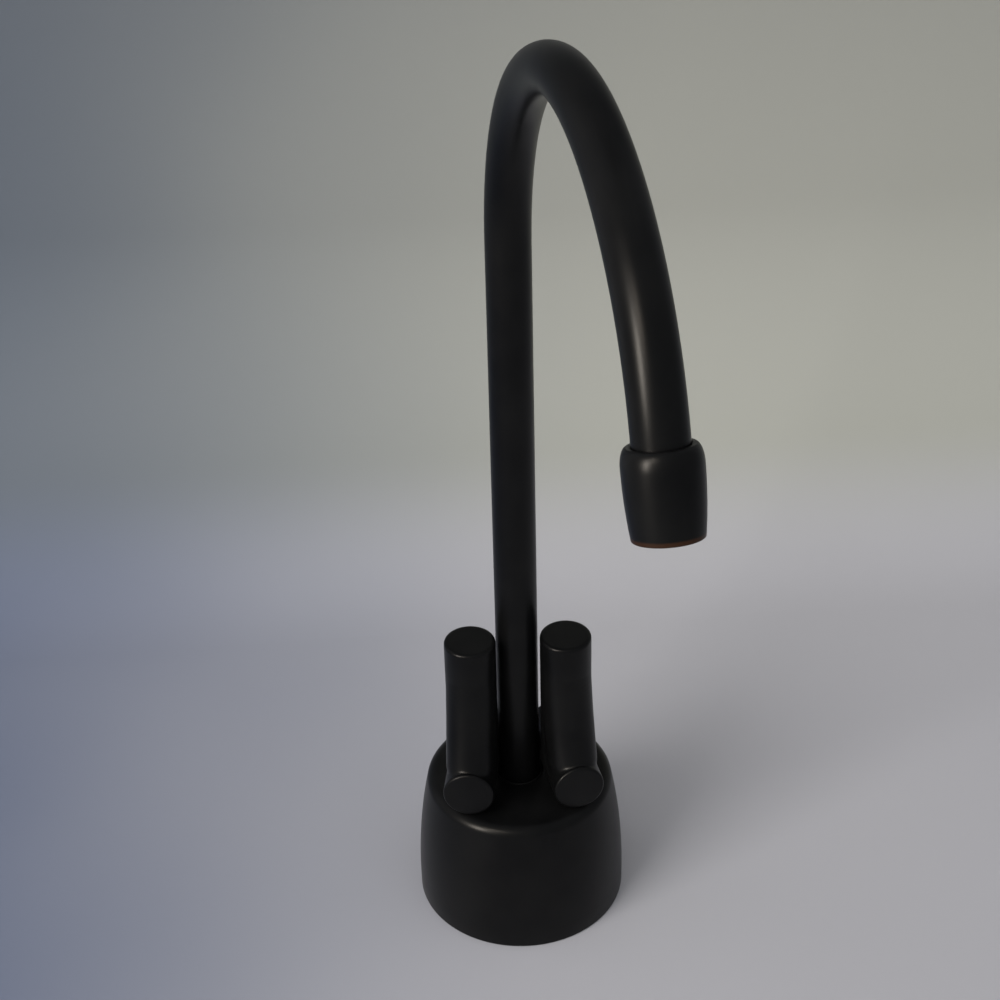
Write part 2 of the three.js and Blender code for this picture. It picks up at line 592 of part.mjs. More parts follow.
/** The outlet, in a frame whose +Z runs down the stream from the bell's top. */
function addBell(bell) {
  const rise = BELL_SHOULDER_RADIUS - BELL_COLLAR_RADIUS;
  const shoulder = [];
  for (let i = 0; i <= RIM_STEPS; i++) {
    const angle = (Math.PI / 2) * (i / RIM_STEPS);
    shoulder.push([
      BELL_COLLAR_RADIUS + rise * Math.sin(angle),
      BELL_SHOULDER_LENGTH * (1 - Math.cos(angle)),
    ]);
  }
  const edge = arc([BELL_MOUTH_RADIUS - BELL_EDGE_RADIUS, BELL_LENGTH - BELL_EDGE_RADIUS],
    BELL_EDGE_RADIUS, 0, Math.PI / 2, 2);
  const socket = TUBE_RADIUS + GAP;
  const stopEnd = BELL_SOCKET_DEPTH + BELL_STOP_LENGTH;
  const shell = turnedRing([
    [socket, 0], ...shoulder, ...bellWaist(), ...edge,
    [BELL_CHAMBER_RADIUS, BELL_LENGTH], [BELL_CHAMBER_RADIUS, stopEnd],
    [BELL_STOP_BORE, stopEnd], [BELL_STOP_BORE, BELL_SOCKET_DEPTH], [socket, BELL_SOCKET_DEPTH],
  ]);
  add(bell, 'outlet_bell', closed(shell), 'black');

  const fit = BELL_CHAMBER_RADIUS - GAP;
  const washerFrom = stopEnd + GAP;
  const washerTo = washerFrom + OUTLET_WASHER_THICKNESS;
  const washer = closed(sleeve(OUTLET_WASHER_BORE, fit, washerFrom, washerTo));
  add(bell, 'outlet_washer', washer, 'rubber');

  const to = BELL_LENGTH - STRAIGHTENER_RECESS;
  const from = to - STRAIGHTENER_LENGTH;
  const holes = Array.from({ length: STRAIGHTENER_HOLES }, (_, i) => {
    const hole = bar(STRAIGHTENER_HOLE_RADIUS, from - PROUD, to + PROUD, SMALL);
    return hole.translate(STRAIGHTENER_HOLE_CIRCLE, 0, 0).rotateZ((2 * Math.PI * i) / STRAIGHTENER_HOLES);
  });
  const insert = cut(sleeve(HOT_TUBE_RADIUS + GAP, fit, from, to), ...holes);
  add(bell, 'flow_straightener', insert, 'steel');
}

/** The bell's long side, which draws in by an easing curve to the mouth. */
function bellWaist() {
  const end = BELL_LENGTH - BELL_EDGE_RADIUS;
  const points = [];
  for (let i = 1; i < RIM_STEPS; i++) {
    const share = i / RIM_STEPS;
    const draw = (BELL_SHOULDER_RADIUS - BELL_MOUTH_RADIUS) * share ** 2;
    const along = BELL_SHOULDER_LENGTH + (end - BELL_SHOULDER_LENGTH) * share;
    points.push([BELL_SHOULDER_RADIUS - draw, along]);
  }
  return points;
}

// ---- Levers, brackets and valves ----

function addSide(side) {
  const frame = sideFrame(side);
  tap.add(frame);
  const put = (suffix, shape, finish) => {
    const handed = side.hand < 0 ? shape.scale(-1, 1, 1) : shape;
    add(frame, `${side.name}_${suffix}`, closed(handed), finish);
  };
  put('lever', lever(), 'black');
  put('hub_cap', hubCap(), 'black');
  put('lever_screw', leverScrew(), 'steel');
  put('spindle', spindle(), 'steel');
  put('bracket', bracket(), 'black');
  put('bracket_screw', bracketScrewSolid(), 'steel');
  put('stem', stem(), 'steel');
  put('valve_washer', valveWasher(), 'rubber');
  put('stem_seal', stemSeal(), 'rubber');
  put('gland', gland(), 'brass');
  put('return_spring', returnSpring(), 'steel');
  put('inlet_bush', inletBush(), 'brass');
}

/** Stick, sloping shin and round hub in one piece. */
function lever() {
  const stick = turned([
    [0, HUB_HEIGHT], [STICK_RADIUS, HUB_HEIGHT], [STICK_RADIUS, STICK_TOP_HEIGHT - STICK_EDGE],
    [STICK_RADIUS - STICK_EDGE, STICK_TOP_HEIGHT], [0, STICK_TOP_HEIGHT],
  ], SMOOTH);
  const hub = alongHub(bar(HUB_RADIUS, -HUB_TAIL, hubFace(), SMOOTH));
  const tail = alongHub(bar(BRACKET_HALF_WIDTH, -STICK_RADIUS, 0));

  const top = new THREE.Vector3(0, 0, SHIN_TOP_HEIGHT);
  const toe = new THREE.Vector3(0, -SHIN_REACH, HUB_HEIGHT);
  const run = new THREE.Vector3().subVectors(top, toe);
  const shin = new THREE.CapsuleGeometry(STICK_RADIUS - SHIN_SLIMMER, run.length(), 6, MEDIUM);
  const lean = new THREE.Quaternion().setFromUnitVectors(new THREE.Vector3(0, 1, 0), run.normalize());
  shin.applyQuaternion(lean);
  const middle = top.add(toe).multiplyScalar(0.5);
  shin.translate(middle.x, middle.y, middle.z);

  const bore = alongHub(bar(SPINDLE_RADIUS + GAP, -STICK_RADIUS - PROUD, SPINDLE_FRONT + GAP, COARSE));
  const hole = alongHub(bar(LEVER_SCREW_RADIUS + GAP, 0, hubFace() + PROUD, COARSE));
  const seat = alongHub(bar(LEVER_SCREW_HEAD_RADIUS + GAP, screwSeat(), HUB_REACH + PROUD, COARSE));
  const capSpace = alongHub(bar(HUB_RADIUS + PROUD, hubFace(), HUB_REACH + PROUD));
  return cut(join(stick, hub, tail, shin), capSpace, bore, hole, seat);
}

/** Front face of the lever's hub, behind the cap. */
function hubFace() {
  return HUB_REACH - CAP_THICKNESS - GAP;
}

/** Floor of the recess for the lever screw's head. */
function screwSeat() {
  return SPINDLE_FRONT + GAP + SPINDLE_WEB;
}

/** The disc that faces the user, with a short boss in the hub's recess. */
function hubCap() {
  const back = HUB_REACH - CAP_THICKNESS;
  const bossEnd = screwSeat() + 2 * GAP + LEVER_SCREW_HEAD_HEIGHT;
  return alongHub(turned([
    [0, bossEnd], [LEVER_SCREW_HEAD_RADIUS, bossEnd], [LEVER_SCREW_HEAD_RADIUS, back],
    [HUB_RADIUS, back], [HUB_RADIUS, HUB_REACH - CAP_EDGE], [HUB_RADIUS - CAP_EDGE, HUB_REACH],
    [0, HUB_REACH],
  ], SMOOTH));
}

function leverScrew() {
  const seat = screwSeat() + GAP;
  const tip = SPINDLE_FRONT - LEVER_SCREW_GRIP;
  const head = seat + LEVER_SCREW_HEAD_HEIGHT;
  const screw = turned([
    [0, tip], [LEVER_SCREW_RADIUS, tip], [LEVER_SCREW_RADIUS, seat],
    [LEVER_SCREW_HEAD_RADIUS, seat], [LEVER_SCREW_HEAD_RADIUS, head], [0, head],
  ], COARSE);
  const key = bar(LEVER_SCREW_RADIUS, head - LEVER_SCREW_HEAD_HEIGHT / 2, head + PROUD, HEXAGON);
  return alongHub(cut(screw, key));
}

/** The shaft with the eccentric that presses the valve stem down as the lever swings out. */
function spindle() {
  const shaft = alongHub(bar(SPINDLE_RADIUS, -SPINDLE_BACK, SPINDLE_FRONT, COARSE));
  const cam = alongHub(bar(ECCENTRIC_RADIUS, -VALVE_SETBACK - ECCENTRIC_LENGTH / 2,
    -VALVE_SETBACK + ECCENTRIC_LENGTH / 2, COARSE));
  cam.translate(ECCENTRIC_THROW * Math.sin(ECCENTRIC_REST), 0, -ECCENTRIC_THROW * Math.cos(ECCENTRIC_REST));
  const threadFoot = SPINDLE_FRONT - LEVER_SCREW_GRIP - GAP;
  const thread = alongHub(bar(LEVER_SCREW_RADIUS + GAP, threadFoot, SPINDLE_FRONT + PROUD, COARSE));
  return cut(join(shaft, cam), thread);
}

/** The fixed bearing block behind the stick, hollow round the eccentric. */
function bracket() {
  const front = STICK_RADIUS + GAP;
  const block = archBlock(BRACKET_HALF_WIDTH, BASE_HEIGHT, HUB_HEIGHT, front, BRACKET_BACK);
  const pocketHalf = ECCENTRIC_LENGTH / 2 + GAP;
  const pocket = archBlock(BRACKET_POCKET_HALF_WIDTH, BASE_HEIGHT - PROUD, HUB_HEIGHT,
    VALVE_SETBACK - pocketHalf, VALVE_SETBACK + pocketHalf);
  const bore = alongHub(bar(SPINDLE_RADIUS + GAP, -SPINDLE_BACK - GAP, 0, COARSE));
  return cut(block, pocket, bore, bracketScrew(GAP, TOP_UNDERSIDE - PROUD));
}

function bracketScrewSolid() {
  const socket = keySocket(BRACKET_SCREW_RADIUS, TOP_UNDERSIDE, BRACKET_SCREW_RADIUS);
  return cut(bracketScrew(), socket.translate(0, BRACKET_SCREW_SETBACK, 0));
}

function stem() {
  const flangeTop = STEM_FOOT + STEM_FLANGE_THICKNESS;
  return atValve(turned([
    [0, STEM_FOOT], [STEM_FLANGE_RADIUS, STEM_FOOT], [STEM_FLANGE_RADIUS, flangeTop],
    [STEM_RADIUS, flangeTop], [STEM_RADIUS, STEM_TOP], [0, STEM_TOP],
  ], COARSE));
}

function valveWasher() {
  const from = STEM_FOOT + STEM_FLANGE_THICKNESS + GAP;
  const outer = STEM_FLANGE_RADIUS;
  return atValve(sleeve(STEM_RADIUS + GAP, outer, from, from + VALVE_WASHER_THICKNESS, COARSE));
}

function stemSeal() {
  const radius = STEM_RADIUS + GAP + STEM_SEAL_SECTION;
  const ring = new THREE.TorusGeometry(radius, STEM_SEAL_SECTION, HEXAGON, COARSE);
  return atValve(ring.translate(0, 0, GLAND_FOOT_HEIGHT - GAP - STEM_SEAL_SECTION));
}

function gland() {
  const outer = CHAMBER_RADIUS - GAP;
  return atValve(sleeve(STEM_RADIUS + GAP, outer, GLAND_FOOT_HEIGHT, BLOCK_TOP, COARSE));
}

function inletBush() {
  return atValve(sleeve(INLET_BORE, INLET_BUSH_RADIUS, GAP, PLATE_THICKNESS, COARSE));
}

function returnSpring() {
  const from = PLATE_THICKNESS + GAP + SPRING_WIRE_RADIUS;
  const to = STEM_FOOT - GAP - SPRING_WIRE_RADIUS;
  const coil = new Coil(SPRING_COIL_RADIUS, SPRING_TURNS, from, to);
  return atValve(swept(coil, SPRING_WIRE_RADIUS, 0, HEXAGON, SPRING_TURNS * SPRING_STEPS_PER_TURN));
}

addBase();
addValveBlock();
addSwivel();
addSpout();
SIDES.forEach(addSide);

export default tap;
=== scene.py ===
"""The looks of a black boiling water tap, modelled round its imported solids.

The tap stands at the origin on a pale worktop in front of a pale wall. +Z is up, the user stands at -Y,
and every length is in metres. The solids that have the right shape keep it and get a finish; the smooth,
rounded and blended pieces are modelled here in the same place.
"""

from __future__ import annotations

import json
import logging
import math
from dataclasses import dataclass
from enum import Enum
from typing import Callable, Iterable, Sequence

import bpy
from mathutils import Matrix, Vector

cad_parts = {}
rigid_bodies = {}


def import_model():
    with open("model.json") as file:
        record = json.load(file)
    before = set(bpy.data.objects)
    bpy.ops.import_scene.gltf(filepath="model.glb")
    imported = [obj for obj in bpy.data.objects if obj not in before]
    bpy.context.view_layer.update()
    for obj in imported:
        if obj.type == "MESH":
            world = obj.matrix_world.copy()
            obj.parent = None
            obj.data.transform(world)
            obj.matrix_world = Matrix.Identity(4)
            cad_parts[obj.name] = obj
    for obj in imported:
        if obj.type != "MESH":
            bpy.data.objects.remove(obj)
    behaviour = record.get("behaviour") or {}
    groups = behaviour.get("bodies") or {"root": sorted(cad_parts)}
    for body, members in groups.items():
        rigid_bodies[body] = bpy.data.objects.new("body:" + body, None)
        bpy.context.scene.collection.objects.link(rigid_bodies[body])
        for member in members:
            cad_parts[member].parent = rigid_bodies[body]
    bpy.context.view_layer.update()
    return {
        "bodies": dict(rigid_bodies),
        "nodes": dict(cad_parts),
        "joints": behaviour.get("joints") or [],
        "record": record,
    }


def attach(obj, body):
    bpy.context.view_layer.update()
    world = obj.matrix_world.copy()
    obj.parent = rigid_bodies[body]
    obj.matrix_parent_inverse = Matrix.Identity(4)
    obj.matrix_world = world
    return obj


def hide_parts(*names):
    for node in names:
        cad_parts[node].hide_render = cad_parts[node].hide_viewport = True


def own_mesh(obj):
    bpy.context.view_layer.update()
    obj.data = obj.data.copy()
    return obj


LOG = logging.getLogger("tap")
MM = 0.001
FULL_TURN = 2 * math.pi
RIGHT_ANGLE = math.pi / 2
UP = Vector((0, 0, 1))
MERGE = 0.002 * MM  # points closer than this are one point
PROUD = 1 * MM  # how far a cutting tool runs past the face that it opens
CREASE = math.radians(32)  # edges sharper than this stay sharp
AIM = Vector((0, 0, 0.1))  # the point on the tap that the lights face

BASE_TOP = 43 * MM
BLOCK_SCREW_HOLE = 1.4 * MM  # radius, through the bearing block and the base's top
PIVOT_BORE = 2.8 * MM  # radius, through the bearing block and into the hub

# Facets of one turn
SHELL_FACETS = 160
BELL_FACETS = 128
HUB_FACETS = 96
TOOL_FACETS = 64
BORE_FACETS = 48
HOLE_FACETS = 32

# The Mix node's factor and colour sockets, and its colour output
MIX_COLOUR_INPUTS = (0, 6, 7)
MIX_COLOUR_OUTPUT = 2

# Layers of a noise, from plain to rich
PLAIN_LAYERS = 1
GRAIN_LAYERS = 2
CLOUD_LAYERS = 3

Pair = tuple[float, float]
Triple = tuple[float, float, float]
Profile = list[Pair]


class Body(Enum):
    """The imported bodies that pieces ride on."""

    BASE = "base"
    SPOUT = "spout"
    HOT_LEVER = "hot_lever_arm"
    COLD_LEVER = "cold_lever_arm"


class Side(Enum):
    """The two waters. Hot is on the user's left and cold on the right."""

    HOT = "hot"
    COLD = "cold"

    @property
    def hand(self) -> int:
        """-1 on the left and 1 on the right."""
        return -1 if self is Side.HOT else 1

    @property
    def body(self) -> Body:
        """The body of this side's lever."""
        return Body.HOT_LEVER if self is Side.HOT else Body.COLD_LEVER


class Slot(Enum):
    """The record's material slots."""

    BLACK_COAT = "black_coat"
    STEEL = "steel"
    BRASS = "brass"
    SEAL_RUBBER = "seal_rubber"
    SILICONE = "silicone"
    BEARING_PLASTIC = "bearing_plastic"


# ---- Shader writing ----


@dataclass(frozen=True)
class Signal:
    """A shader socket that takes part in Python expressions.

    Args:
        sheet: The node sheet that the socket belongs to.
        socket: The output socket.
    """

    sheet: NodeSheet
    socket: bpy.types.NodeSocket

    def _math(self, operation: str, *values: Signal | float) -> Signal:
        """Adds one Math node and returns its result."""
        return self.sheet.node("ShaderNodeMath", {"operation": operation}, dict(enumerate(values)))

    def __add__(self, other: Signal | float) -> Signal:
        """Returns self + other."""
        return self._math("ADD", self, other)

    def __sub__(self, other: Signal | float) -> Signal:
        """Returns self - other."""
        return self._math("SUBTRACT", self, other)

    def __rsub__(self, other: Signal | float) -> Signal:
        """Returns other - self."""
        return self._math("SUBTRACT", other, self)

    def __mul__(self, other: Signal | float) -> Signal:
        """Returns self * other."""
        return self._math("MULTIPLY", self, other)

    def around(self, middle: float, spread: float) -> Signal:
        """Returns this signal, which varies about a half, as one that varies about a middle."""
        return self * spread + (middle - spread / 2)

    def ramp(self, low: float, high: float) -> Signal:
        """Returns 0 below low and 1 above high, with a smooth step between."""
        settings = {"interpolation_type": "SMOOTHSTEP"}
        return self.sheet.node("ShaderNodeMapRange", settings, {0: self, 1: low, 2: high})


class NodeSheet:
    """A node tree that signals and their expressions are written in."""

    def __init__(self, tree: bpy.types.NodeTree) -> None:
        """Opens a node tree."""
        self.nodes = tree.nodes
        self.links = tree.links

    def node(
        self,
        kind: str,
        settings: dict[str, object] | None = None,
        values: dict[int | str, object] | None = None,
        output: int | str = 0,
    ) -> Signal:
        """Adds one node.

        Args:
            kind: The node's type.
            settings: Properties that are set before the sockets.
            values: Values or signals for its input sockets, by index or name.
            output: The output socket to return.

        Returns:
            The chosen output as a signal.
        """
        made = self.nodes.new(kind)
        for key, value in (settings or {}).items():
            setattr(made, key, value)
        for key, value in (values or {}).items():
            self.feed(made.inputs[key], value)
        return Signal(self, made.outputs[output])

    def feed(self, socket: bpy.types.NodeSocket, value: object) -> None:
        """Links a signal to a socket, or sets a plain value on it."""
        if isinstance(value, Signal):
            self.links.new(value.socket, socket)
        else:
            socket.default_value = value

    def blend(self, share: Signal, low: Triple | Signal, high: Triple | Signal) -> Signal:
        """Returns a colour between low and high."""
        ends = (end if isinstance(end, Signal) else (*end, 1) for end in (low, high))
        values = dict(zip(MIX_COLOUR_INPUTS, (share, *ends)))
        return self.node("ShaderNodeMix", {"data_type": "RGBA"}, values, MIX_COLOUR_OUTPUT)


class MaterialSheet(NodeSheet):
    """One material with its principled shader."""

    def __init__(self, name: str) -> None:
        """Starts a material with an untouched principled shader.

        Args:
            name: The material's name.
        """
        self.material = bpy.data.materials.new(name)
        self.material.use_nodes = True
        super().__init__(self.material.node_tree)
        self.shader = self.nodes["Principled BSDF"]

    def set(self, **values: object) -> None:
        """Sets the shader's sockets by name, with underscores for spaces."""
        for key, value in values.items():
            self.feed(self.shader.inputs[key.replace("_", " ")], value)

    def place(self) -> Signal:
        """Returns the point on the surface in the tap's own coordinates."""
        return self.node("ShaderNodeTexCoord", output="Object")

    def noise(self, size: float, layers: int, stretch: Triple = (1, 1, 1)) -> Signal:
        """Returns soft noise.

        Args:
            size: The size of one blotch, in metres.
            layers: How many finer layers it has.
            stretch: How much it is drawn out along each axis.

        Returns:
            The noise, about 0.5.
        """
        scale = tuple(1 / s for s in stretch)
        point = self.node("ShaderNodeMapping", {}, {"Vector": self.place(), "Scale": scale})
        return self.node("ShaderNodeTexNoise", {}, {"Vector": point, "Scale": 1 / size, "Detail": layers})

    def bump(self, height: Signal, depth: float) -> Signal:
        """Returns a normal that follows a height.

        Args:
            height: The height, 0 to 1.
            depth: The real depth of a height of 1, in metres.

        Returns:
            The bent normal.
        """
        return self.node("ShaderNodeBump", {}, {"Strength": 1, "Distance": depth, "Height": height})


# ---- Finishes ----


@dataclass(frozen=True)
class PowderCoat:
    """Satin black powder coat: a fine pebbled skin with a faint film of dust where it faces up."""

    name: str = "satin_black_coat"
    colour: Triple = (0.0031, 0.0031, 0.0032)
    worn_colour: Triple = (0.0051, 0.005, 0.0049)
    wear: Pair = (0.3, 0.7)
    cloud: float = 14 * MM
    dust_colour: Triple = (0.0115, 0.0115, 0.012)
    dust_tilt: Pair = (0.75, 1.0)
    dust_grains: Pair = (0.5, 0.72)
    dust_patches: Pair = (0.35, 0.7)
    dust_share: float = 0.55
    dust_matting: float = 0.2
    gloss_level: float = 0.13
    roughness: float = 0.33
    roughness_spread: float = 0.1
    pebble: float = 0.45 * MM
    pebble_depth: float = 0.012 * MM
    speck: float = 0.16 * MM
    speck_share: float = 0.2
    lip_start: Triple | None = None
    lip_axis: Triple | None = None
    lip_depth: float = 0.0
    lip_chip: float = 0.8 * MM
    lip_raggedness: float = 0.2 * MM
    lip_fade: float = 0.6
    lip_colour: Triple = (0.035, 0.015, 0.007)

    def build(self) -> bpy.types.Material:
        """Returns the material."""
        sheet = MaterialSheet(self.name)
        cloud = sheet.noise(self.cloud, CLOUD_LAYERS)
        specks = sheet.noise(self.speck, PLAIN_LAYERS)
        normal = sheet.node("ShaderNodeNewGeometry", output="Normal")
        facing_up = sheet.node("ShaderNodeSeparateXYZ", {}, {0: normal}, "Z")
        dust = facing_up.ramp(*self.dust_tilt) * specks.ramp(*self.dust_grains)
        dust = dust * cloud.ramp(*self.dust_patches)
        colour = sheet.blend(cloud.ramp(*self.wear), self.colour, self.worn_colour)
        colour = sheet.blend(dust * self.dust_share, colour, self.dust_colour)
        # a brown band at the mouth's edge, blended in over the coat
        if self.lip_start is not None:
            colour = sheet.blend(self._lip(sheet), colour, self.lip_colour)
        pebbles = sheet.noise(self.pebble, GRAIN_LAYERS)
        roughness = cloud.around(self.roughness, self.roughness_spread)
        skin = pebbles * (1 - self.speck_share) + specks * self.speck_share
        sheet.set(
            Base_Color=colour,
            Roughness=roughness + dust * self.dust_matting,
            Metallic=0.0,
            Specular_IOR_Level=self.gloss_level,
            Normal=sheet.bump(skin, self.pebble_depth),
        )
        return sheet.material

    def _lip(self, sheet: MaterialSheet) -> Signal:
        """Returns a ragged band at the mouth's edge where the coat turns brown."""
        minus = {"operation": "SUBTRACT"}
        offset = sheet.node("ShaderNodeVectorMath", minus, {0: sheet.place(), 1: self.lip_start})
        dot = {"operation": "DOT_PRODUCT"}
        along = sheet.node("ShaderNodeVectorMath", dot, {0: offset, 1: self.lip_axis}, "Value")
        ragged = along + sheet.noise(self.lip_chip, PLAIN_LAYERS).around(0, self.lip_raggedness)
        return ragged.ramp(-self.lip_depth, -self.lip_depth * self.lip_fade)


@dataclass(frozen=True)
class Metal:
    """Machined metal: turning marks and a little tarnish."""

    name: str
    colour: Triple
    tarnish: Triple
    tarnish_patches: Pair = (0.4, 0.75)
    roughness: float = 0.29
    roughness_spread: float = 0.16
    cloud: float = 6 * MM
    mark_pitch: float = 0.22 * MM
    mark_stretch: Triple = (6, 6, 1)
    mark_depth: float = 0.004 * MM
    mark_matting: float = 0.06

    def build(self) -> bpy.types.Material:
        """Returns the material."""
        sheet = MaterialSheet(self.name)
        cloud = sheet.noise(self.cloud, CLOUD_LAYERS)
        marks = sheet.noise(self.mark_pitch, GRAIN_LAYERS, self.mark_stretch)
        colour = sheet.blend(cloud.ramp(*self.tarnish_patches), self.colour, self.tarnish)
        roughness = cloud.around(self.roughness, self.roughness_spread)
        sheet.set(
            Base_Color=colour,
            Metallic=1.0,
            Roughness=roughness + marks.around(0, self.mark_matting),
            Normal=sheet.bump(marks, self.mark_depth),
        )
        return sheet.material


@dataclass(frozen=True)
class MouldedPolymer:
    """Moulded rubber or plastic: matt, faintly pebbled, with a bloom in patches."""

    name: str
    colour: Triple
    bloom: Triple
    roughness: float
    bloom_patches: Pair = (0.35, 0.75)
    roughness_spread: float = 0.12
    gloss_level: float = 0.3
    cloud: float = 5 * MM
    grain: float = 0.3 * MM
    grain_depth: float = 0.01 * MM

    def build(self) -> bpy.types.Material:
        """Returns the material."""
        sheet = MaterialSheet(self.name)
        cloud = sheet.noise(self.cloud, CLOUD_LAYERS)
        grain = sheet.noise(self.grain, GRAIN_LAYERS)
        sheet.set(
            Base_Color=sheet.blend(cloud.ramp(*self.bloom_patches), self.colour, self.bloom),
            Roughness=cloud.around(self.roughness, self.roughness_spread),
            Specular_IOR_Level=self.gloss_level,
            Normal=sheet.bump(grain, self.grain_depth),
        )
        return sheet.material


@dataclass(frozen=True)
class Backdrop:
    """The pale sheet of the picture: worktop below, wall above, both with painted shade that leaves them
    darker and bluer to the user's left and lighter to the right.

    Away from the tap, to both sides and in front of it, it turns plain. Higher up, the wall carries
    painted shade that turns it dark.

    Args:
        name: The material's name.
        one_sided: Whether it is only seen from its face, so that it never hides the tap.
    """

    name: str
    one_sided: bool
    # painted shade: the left colours are darker and bluer and ease into the lighter right ones across each
    # drift span
    low_left_painted_shade: Triple = (0.13, 0.157, 0.235)
    low_right: Triple = (0.48, 0.465, 0.48)
    low_painted_shade_drift: Pair = (-0.23, 0.04)
    high_left_painted_shade: Triple = (0.13, 0.149, 0.177)
    high_right: Triple = (0.4, 0.392, 0.342)
    high_painted_shade_drift: Pair = (-0.22, 0.1)
    change: Pair = (-0.002, 0.03)
    plain: Triple = (0.4, 0.4, 0.41)
    plain_reach: Pair = (0.26, 0.5)
    plain_lead: float = 0.14
    # painted shade: the dark colour that the wall turns to higher up
    high_painted_shade: Triple = (0.08, 0.084, 0.09)
    high_painted_shade_rise: Pair = (0.08, 0.5)
    blotch: float = 0.26
    blotch_sway: float = 0.12
    roughness: float = 0.65
    gloss_level: float = 0.2

    def build(self) -> bpy.types.Material:
        """Returns the material."""
        sheet = MaterialSheet(self.name)
        across, behind, above = (
            sheet.node("ShaderNodeSeparateXYZ", {}, {0: sheet.place()}, axis) for axis in "XYZ"
        )
        # painted shade across the sheet, from the darker, bluer left to the lighter right, with a noisy
        # edge
        along = across + sheet.noise(self.blotch, GRAIN_LAYERS).around(0, self.blotch_sway)
        low = sheet.blend(along.ramp(*self.low_painted_shade_drift), self.low_left_painted_shade, self.low_right)
        high = sheet.blend(along.ramp(*self.high_painted_shade_drift), self.high_left_painted_shade, self.high_right)
        # painted shade: the wall turns dark between these heights
        high = sheet.blend(above.ramp(*self.high_painted_shade_rise), high, self.high_painted_shade)
        colour = sheet.blend(above.ramp(*self.change), low, high)
        aside = sheet.node("ShaderNodeMath", {"operation": "ABSOLUTE"}, {0: across})
        nearer = self.plain_lead - behind
        away = sheet.node("ShaderNodeMath", {"operation": "MAXIMUM"}, {0: aside, 1: nearer})
        sheet.set(
            Base_Color=sheet.blend(away.ramp(*self.plain_reach), colour, self.plain),
            Roughness=self.roughness,
            Specular_IOR_Level=self.gloss_level,
        )
        if self.one_sided:
            self._open_behind(sheet)
        return sheet.material

    def _open_behind(self, sheet: MaterialSheet) -> None:
        """Lets light and sight through from behind."""
        behind = sheet.node("ShaderNodeNewGeometry", output="Backfacing")
        front = Signal(sheet, sheet.shader.outputs[0])
        back = sheet.node("ShaderNodeBsdfTransparent")
        both = sheet.node("ShaderNodeMixShader", {}, {0: behind, 1: front, 2: back})
        sheet.feed(sheet.nodes["Material Output"].inputs["Surface"], both)


class FinishShelf:
    """All the finishes, each built once and shared by the pieces that wear it."""

    def __init__(self) -> None:
        """Builds the finishes by slot."""
        makers: dict[Slot, PowderCoat | Metal | MouldedPolymer] = {
            Slot.BLACK_COAT: PowderCoat(),
            Slot.STEEL: Metal("plain_steel", (0.52, 0.53, 0.54), (0.38, 0.38, 0.38)),
            Slot.BRASS: Metal("turned_brass", (0.58, 0.4, 0.17), (0.4, 0.26, 0.11)),
            Slot.SEAL_RUBBER: MouldedPolymer(
                "seal_rubber", (0.012, 0.012, 0.012), (0.03, 0.03, 0.03), 0.75
            ),
            Slot.SILICONE: MouldedPolymer("milky_silicone", (0.62, 0.62, 0.6), (0.7, 0.7, 0.69), 0.4),
            Slot.BEARING_PLASTIC: MouldedPolymer(
                "black_acetal", (0.004, 0.004, 0.004), (0.008, 0.008, 0.008), 0.5, gloss_level=0.12
            ),
        }
        self.materials = {slot: maker.build() for slot, maker in makers.items()}

    def dress(self, piece: bpy.types.Object, slot: Slot) -> None:
        """Gives a piece one finish all over."""
        piece.data.materials.clear()
        piece.data.materials.append(self.materials[slot])

    def finish(self, piece: bpy.types.Object, slot: Slot, body: Body, node: str) -> None:
        """Dresses a piece, sets it on its body and lets it stand for its solid.

        Args:
            piece: The piece.
            slot: Its finish.
            body: The body that it moves with.
            node: The solid that it replaces.
        """
        self.dress(piece, slot)
        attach(piece, body.value)
        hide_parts(node)
        LOG.info("%s: %d faces, stands for %s", piece.name, len(piece.data.polygons), node)

    def dress_solids(self, frame: dict) -> None:
        """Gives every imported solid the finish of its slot."""
        for entry in frame["record"]["subparts"]:
            solid = frame["nodes"][entry["node"]]
            self.dress(solid, Slot(entry["material_slot"]))


# ---- Modelling tools ----


@dataclass(frozen=True)
class Axis:
    """A line that pieces are turned about.

    Args:
        origin: Where distances along the line start.
        along: The line's unit direction.
        across: A unit direction square to it.
    """

    origin: Vector
    along: Vector
    across: Vector

    def point(self, radius: float, distance: float) -> Vector:
        """Returns the point at a radius and a distance along the line."""
        return self.origin + self.along * distance + self.across * radius


UPRIGHT = Axis(Vector((0, 0, 0)), UP, Vector((1, 0, 0)))


def deselect_all() -> None:
    """Leaves nothing selected in object mode."""
    bpy.ops.object.select_all(action="DESELECT")


def activate(piece: bpy.types.Object) -> None:
    """Makes one object the only selected and the active one."""
    deselect_all()
    piece.select_set(True)
    bpy.context.view_layer.objects.active = piece


def start_point(place: Iterable[float]) -> bpy.types.Object:
    """Starts a mesh of one point and leaves it in edit mode, with the point selected."""
    deselect_all()
    bpy.ops.mesh.primitive_plane_add(size=MM, location=place)
    bpy.ops.object.mode_set(mode="EDIT")
    bpy.ops.mesh.merge(type="CENTER")
    return bpy.context.object


def close_seams() -> None:
    """Merges the points that meet."""
    bpy.ops.mesh.select_all(action="SELECT")
    bpy.ops.mesh.remove_doubles(threshold=MERGE)


def leave_edit() -> None:
    """Turns all faces outwards and leaves edit mode."""
    bpy.ops.mesh.select_all(action="SELECT")
    bpy.ops.mesh.normals_make_consistent(inside=False)
    bpy.ops.object.mode_set(mode="OBJECT")


def settle(piece: bpy.types.Object, name: str) -> bpy.types.Object:
    """Names a piece and puts its place into its mesh, with the object itself at the origin."""
    activate(piece)
    bpy.ops.object.transform_apply(location=True, rotation=True, scale=True)
    piece.name = name
    piece.data.name = name
    return piece


